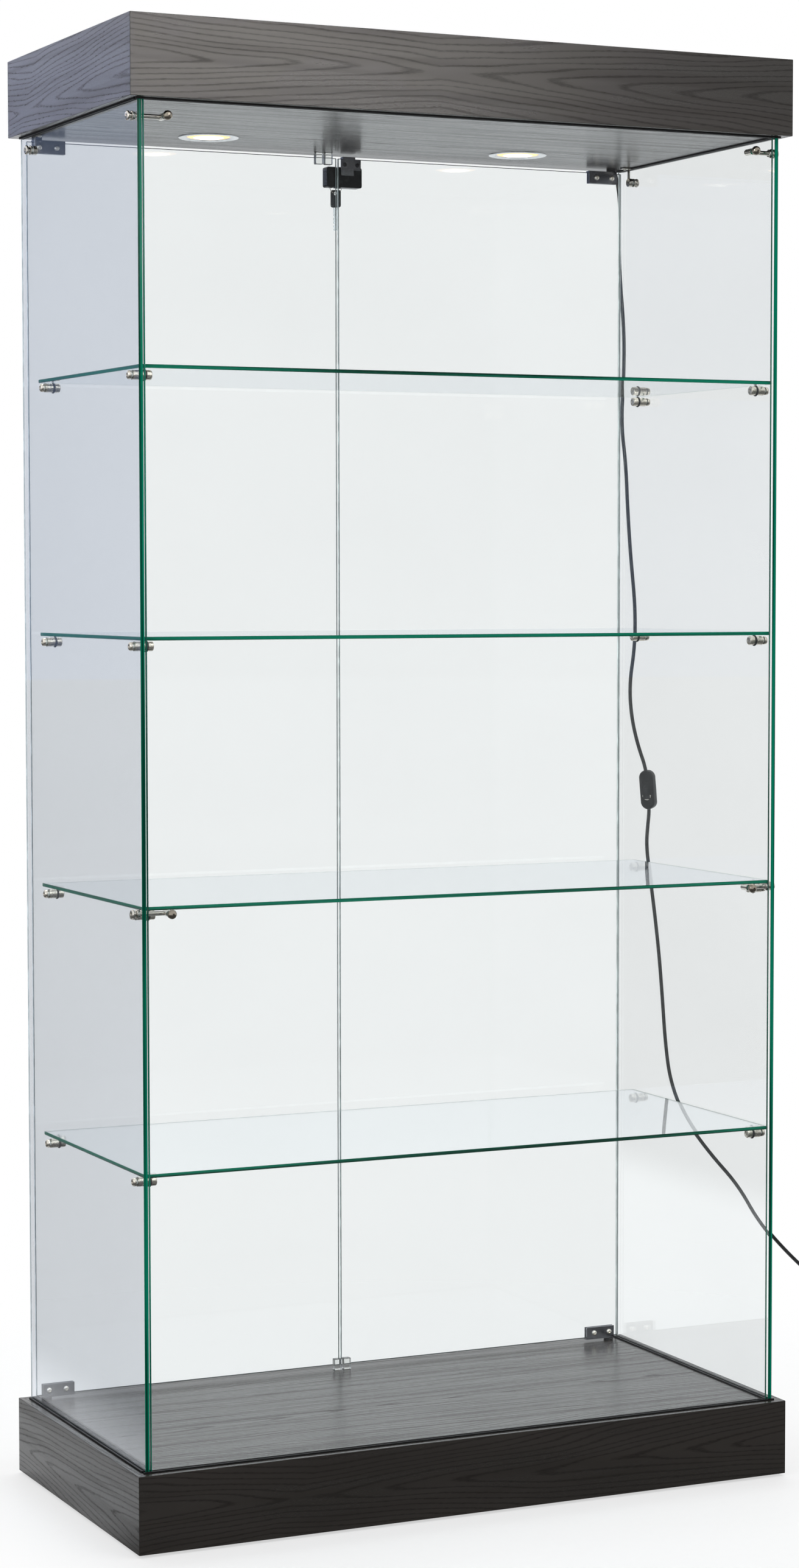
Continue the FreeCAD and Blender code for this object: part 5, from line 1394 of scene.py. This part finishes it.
class DISPLAY_CASE_OT_downlights(bpy.types.Operator):
    """Make the downlights and finish what lies in the canopy"""

    bl_idname = "display_case.downlights"
    bl_label = "Downlights"

    def execute(self, context):
        low, high = (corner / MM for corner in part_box("downlight_trims"))
        y = (low.y + high.y) / 2
        x = high.x - (high.y - low.y) / 2
        spots = [aim((s * x, y, CEILING), (0, 0, -1)) for s in SIDES]
        trim = turned([
            (37, -8), (37, 0), (42.6, 0), (43, 0.2), (43, 0.6), (42.6, 1.1), (41.4, 1.4),
            (36.4, 1.4), (35.6, 1.1), (34.8, 1.2), (33.6, 0.9), (31.6, -0.2), (31.0, -0.8),
            (31.0, -3.4),
        ], LAMP_SIDES)
        silver = metal("Silver trim", (0.8, 0.81, 0.82, 1), 0.2, 0.32, scale=60.0)
        even(silver.node_tree.nodes["Principled BSDF"], Metallic=0.8)
        fit(coat(copies(trim, spots), silver), "lamp_trims", "downlight_trims")
        lens = turned([
            (30.6, -3), (30.7, -2.6), (30.7, -1.0), (29.6, -0.3), (24, 0.6), (15, 1.2), (6, 1.4),
            (1.5, 1.45),
        ], LAMP_SIDES)
        lenses = coat(copies(lens, spots), lamp_lens("Lit lamp lens"))
        fit(lenses, "lamp_lenses", "downlight_lenses")
        can = metal("Dark can", (0.12, 0.12, 0.125, 1), 0.35, 0.55, scale=80.0)
        cans = coat(eased(from_cad("downlight_cans"), 0.5, 2, 50), can)
        fit(cans, "lamp_cans", "downlight_cans", 50)
        transformer = coat(eased(from_cad("transformer"), 1.0), black_plastic())
        fit(transformer, "lamp_transformer", "transformer")
        for side, name in zip(SIDES, ("left_lamp_lead", "right_lamp_lead")):
            route = [(side * px, py, pz) for px, py, pz in LAMP_LEAD]
            self.lead(name, route, LAMP_LEAD_RADIUS)
        self.lead("canopy_mains_lead", CANOPY_LEAD, CANOPY_LEAD_RADIUS)
        return {"FINISHED"}

    def lead(self, name, route, radius):
        """A round lead in the canopy, from one fitting to another."""
        line = smooth_line(name, route)
        path, length = line_points(line)
        line.data.bevel_depth = radius * MM
        line.data.bevel_resolution = 4
        line.data.use_fill_caps = True
        line.data.materials.append(sheath())
        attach(line, BODY_OF["canopy_leads"])
        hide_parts("canopy_leads")


def screw(radius, height):
    """A button-head screw with a hexagon socket."""
    dome = [(radius, 0), (radius, height * 0.3)]
    for angle in (25, 45, 65, 80):
        turn = math.radians(angle)
        dome.append((radius * math.cos(turn) ** 0.7, height * (0.3 + 0.7 * math.sin(turn))))
    head = turned(dome)
    return bored(head, turned([(radius * 0.5, height * 0.45), (radius * 0.5, height * 1.5)], 6))


# The doors' pivots and screws in millimetres, on the right. The left door mirrors them.
PIVOT = (461, 225)
PIVOT_BORE = 3.06
SCREW_X = (459, 433)
SCREW_Z = (124.5, 1918.5)
LOCK_SCREW_X = (11, 31)
LOCK_SCREW_Y = 219.8
LOCK_SCREW_Z = 1917


class DISPLAY_CASE_OT_doors(bpy.types.Operator):
    """Finish the doors, their clamp hinges, screws, bushes and stops"""

    bl_idname = "display_case.doors"
    bl_label = "Doors"

    def execute(self, context):
        for side, name in zip(SIDES, ("left", "right")):
            glazed(f"{name}_door_glass", f"{name}_door_pane", Y, clear_glass())
            # The clamps' steel is darkened as painted shade.
            clamps = coat(eased(from_cad(f"{name}_hinge_clamps"), 0.6), shaded_steel())
            fit(clamps, f"{name}_clamps", f"{name}_hinge_clamps")
            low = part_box(f"{name}_hinge_clamps")[0] / MM
            spots = [(side * x, low.y, z) for x in SCREW_X for z in SCREW_Z]
            places = [aim(spot, (0, -1, 0)) for spot in spots]
            # The screws' silver is lightened as painted highlight.
            heads = coat(copies(screw(4, 2.6), places), highlight_silver())
            if name == "right":
                tint = (0.05, 0.05, 0.055, 1)
                dark = metal("Dark socket screw", tint, 0.3, 0.45, scale=300.0)
                spots = [(x, LOCK_SCREW_Y, LOCK_SCREW_Z) for x in LOCK_SCREW_X]
                places = [aim(spot, (0, -1, 0)) for spot in spots]
                heads = joined([coat(copies(screw(3.3, 1.8), places), dark), heads])
            fit(heads, f"{name}_screws", f"{name}_door_screws")
        bush = turned([(5, -10), (5, 0), (7.5, 0), (7.5, 2.5), (7.1, 3), (6.4, 3.2)])
        bush = bored(bush, turned([(PIVOT_BORE, -12), (PIVOT_BORE, 6)]))
        across, deep = PIVOT
        places = []
        for side in SIDES:
            places.append(aim((side * across, deep, DECK_TOP), (0, 0, 1)))
            places.append(aim((side * across, deep, CEILING), (0, 0, -1)))
        fit(coat(copies(bush, places), black_plastic()), "hinge_bushes", "pivot_bushes")
        stops = coat(eased(from_cad("door_stops"), 1.4, 3), clear_plastic("Clear plastic"))
        fit(stops, "clear_stops", "door_stops")
        return {"FINISHED"}


# The lock and its keys, in millimetres, and the turn of the spare key in degrees.
PLUG_Y = 234.05
CAM_PIN_Y = 231.2
CAM_PIN_OFFSET = 4
KEYWAY = (2.2, 8.3)
KEYWAY_Y = (237.6, 247)
KEY_SECTION = (8, 2)
KEY_CUTS = (1.6, 2.4, 1.2, 2.0)
KEY_SHOULDER_Y = 256.1
BOW_HOLE = 3.2
BOW_RIM = 10
HOLE_Y = 261.6
RING_Z = 1888.5
SPARE_Z = 1879
SPARE_TURN = 40


def key_blade(length, width, thickness):
    """A flat key blade on the Z axis from zero downwards, with its cuts along one edge."""
    blade = slab((-thickness / 2, -width / 2, -length), (thickness / 2, width / 2, 0))
    for i, depth in enumerate(KEY_CUTS):
        z = -length * 0.9 + i * length * 0.16
        notch = slab((-2, -0.7, -0.7), (2, 0.7, 0.7))
        begin_edit(notch)
        bpy.ops.transform.resize(value=(1, depth, depth), center_override=(0, 0, 0))
        end_edit()
        turn = Matrix.Rotation(math.radians(45), 4, "X")
        place = Matrix.Translation(Vector((0, width / 2, z)) * MM)
        blade = bored(blade, moved(notch, place @ turn))
    groove_low = (thickness / 2 - 0.35, -width * 0.12, -length)
    groove_high = (thickness, width * 0.1, -length * 0.1)
    blade = bored(blade, slab(groove_low, groove_high))
    return eased(blade, 0.12, 1)


class DISPLAY_CASE_OT_lock(bpy.types.Operator):
    """Finish the lock, its keeper, keys and ring"""

    bl_idname = "display_case.lock"
    bl_label = "Lock and keys"

    axis_x: FloatProperty(
        name="Plug axis", description="Distance right of the case's middle, in mm", default=13.5
    )
    axis_z: FloatProperty(
        name="Plug height", description="Height above the floor, in mm", default=1898
    )

    def execute(self, context):
        # The bracket's steel is darkened as painted shade.
        bracket = coat(eased(from_cad("lock_clamp"), 0.4), shaded_steel())
        fit(bracket, "lock_bracket", "lock_clamp")
        for node, name in (("lock_case", "lock_housing"), ("lock_keeper", "lock_catch")):
            fit(coat(eased(from_cad(node), 0.7, 2, 50), lock_black()), name, node)
        fit(coat(eased(from_cad("lock_bolt"), 0.3), nickel()), "sliding_bolt", "lock_bolt")
        self.plug()
        self.key()
        self.ring()
        self.spare()
        return {"FINISHED"}

    def plug(self):
        """The plug with its rim, keyway and cam pin."""
        x = self.axis_x
        z = self.axis_z
        core = turned([
            (7.6, 0.1), (8, 0.5), (8, 10.1), (9.2, 10.1), (9.2, 10.9), (8.7, 11.4), (7.4, 11.55),
        ], 48)
        core = moved(core, aim((x, PLUG_Y, z), (0, 1, 0)))
        wide, tall = (size / 2 for size in KEYWAY)
        foot, mouth = KEYWAY_Y
        core = bored(core, slab((x - wide, foot, z - tall), (x + wide, mouth, z + tall)))
        pin = turned([(1.25, 0), (1.25, 3.2)], 20)
        pin_foot = (x + CAM_PIN_OFFSET, CAM_PIN_Y, z - CAM_PIN_OFFSET)
        pin = moved(pin, aim(pin_foot, (0, 1, 0)))
        fit(coat(joined([pin, core]), chrome()), "lock_barrel", "lock_plug")

    def key(self):
        """The key in the lock: a pierced bow on a flat blade."""
        deselect()
        bpy.ops.mesh.primitive_circle_add(vertices=40, radius=BOW_HOLE * MM, fill_type="NOTHING")
        bow = bpy.context.object
        begin_edit(bow)
        bpy.ops.mesh.extrude_edges_move(TRANSFORM_OT_translate={"value": (0, 0, 0)})
        widening = BOW_RIM / BOW_HOLE
        bpy.ops.transform.resize(value=(widening, widening, 1), center_override=(0, 0, 0))
        bpy.ops.transform.translate(value=(0, -3.5 * MM, 0))
        bpy.ops.mesh.select_all(action="SELECT")
        bpy.ops.mesh.extrude_region_move(TRANSFORM_OT_translate={"value": (0, 0, 2 * MM)})
        end_edit()
        bow = eased(bow, 0.35, 2)
        on_edge = Matrix.Rotation(math.radians(90), 4, "Y")
        hole = Vector((self.axis_x - 1, HOLE_Y, self.axis_z)) * MM
        bow = moved(bow, Matrix.Translation(hole) @ on_edge)
        blade = key_blade(18.5, *KEY_SECTION)
        lying = Matrix.Rotation(math.radians(-90), 4, "X")
        shoulder = Vector((self.axis_x, KEY_SHOULDER_Y, self.axis_z)) * MM
        blade = moved(blade, Matrix.Translation(shoulder) @ lying)
        fit(coat(joined([blade, bow]), steel()), "pierced_key", "key")

    def ring(self):
        """The split ring: two turns of wire side by side."""
        wire = 0.4
        upright = (math.radians(90), 0, 0)
        turns = []
        for side in SIDES:
            place = (self.axis_x, HOLE_Y + wire * side, RING_Z)
            turns.append(ring_of(9.7, wire, (56, 10), place, upright))
        fit(coat(joined(turns), chrome()), "split_ring", "key_ring")

    def spare(self):
        """The spare key: a moulded head on a flat blade."""
        head = slab((-1.7, -8, -21), (1.7, 8, 5))
        begin_edit(head)
        pick(head, "EDGE", lambda e: abs((e.verts[0].co - e.verts[1].co).normalized().x) > 0.9)
        bpy.ops.mesh.bevel(offset=3.4 * MM, segments=5, affect="EDGES")
        pick(head, "FACE", lambda f: abs(f.normal.x) > 0.99)
        bpy.ops.mesh.inset(thickness=1.6 * MM, use_individual=True)
        bpy.ops.transform.resize(value=(0.82, 1, 1), center_override=(0, 0, 0))
        end_edit()
        head = bored(head, moved(turned([(3, -4), (3, 4)], 28), aim((0, 0, 0), (1, 0, 0))))
        head = coat(eased(head, 0.4, 2, 35), gloss_plastic())
        blade_foot = Matrix.Translation(Vector((0, 0, -20.5)) * MM)
        blade = coat(moved(key_blade(34.5, *KEY_SECTION), blade_foot), steel())
        place = Matrix.Translation(Vector((self.axis_x, HOLE_Y, SPARE_Z)) * MM)
        place = place @ Matrix.Rotation(math.radians(SPARE_TURN), 4, "Z")
        fit(moved(joined([blade, head]), place), "moulded_spare_key", "spare_key")


class DISPLAY_CASE_PT_panel(bpy.types.Panel):
    """Steps that finish the case"""

    bl_label = "Display case"
    bl_space_type = "VIEW_3D"
    bl_region_type = "UI"
    bl_category = "Case"

    def draw(self, context):
        layout = self.layout
        for operator in STEPS:
            layout.operator(operator.bl_idname)
        for group in (context.scene.case_sizes, context.scene.case_finishes):
            box = layout.box()
            for name in group.__annotations__:
                box.prop(group, name)


STEPS = (
    DISPLAY_CASE_OT_stage,
    DISPLAY_CASE_OT_mains_lead,
    DISPLAY_CASE_OT_carcass,
    DISPLAY_CASE_OT_glazing,
    DISPLAY_CASE_OT_shelf_pins,
    DISPLAY_CASE_OT_connectors,
    DISPLAY_CASE_OT_downlights,
    DISPLAY_CASE_OT_doors,
    DISPLAY_CASE_OT_lock,
)
CLASSES = (CaseSizes, CaseFinishes, *STEPS, DISPLAY_CASE_PT_panel)


def register():
    """Add the case's properties, operators and panel to Blender."""
    for kind in CLASSES:
        bpy.utils.register_class(kind)
    bpy.types.Scene.case_sizes = PointerProperty(type=CaseSizes)
    bpy.types.Scene.case_finishes = PointerProperty(type=CaseFinishes)


def unregister():
    """Take them out again."""
    del bpy.types.Scene.case_finishes
    del bpy.types.Scene.case_sizes
    for kind in reversed(CLASSES):
        bpy.utils.unregister_class(kind)


def main():
    """Finish the case step by step."""
    register()
    bpy.ops.display_case.stage()
    bpy.ops.display_case.mains_lead()
    bpy.ops.display_case.carcass()
    bpy.ops.display_case.glazing()
    bpy.ops.display_case.shelf_pins()
    bpy.ops.display_case.connectors()
    bpy.ops.display_case.downlights()
    bpy.ops.display_case.doors()
    bpy.ops.display_case.lock()


if __name__ == "__main__":
    main()
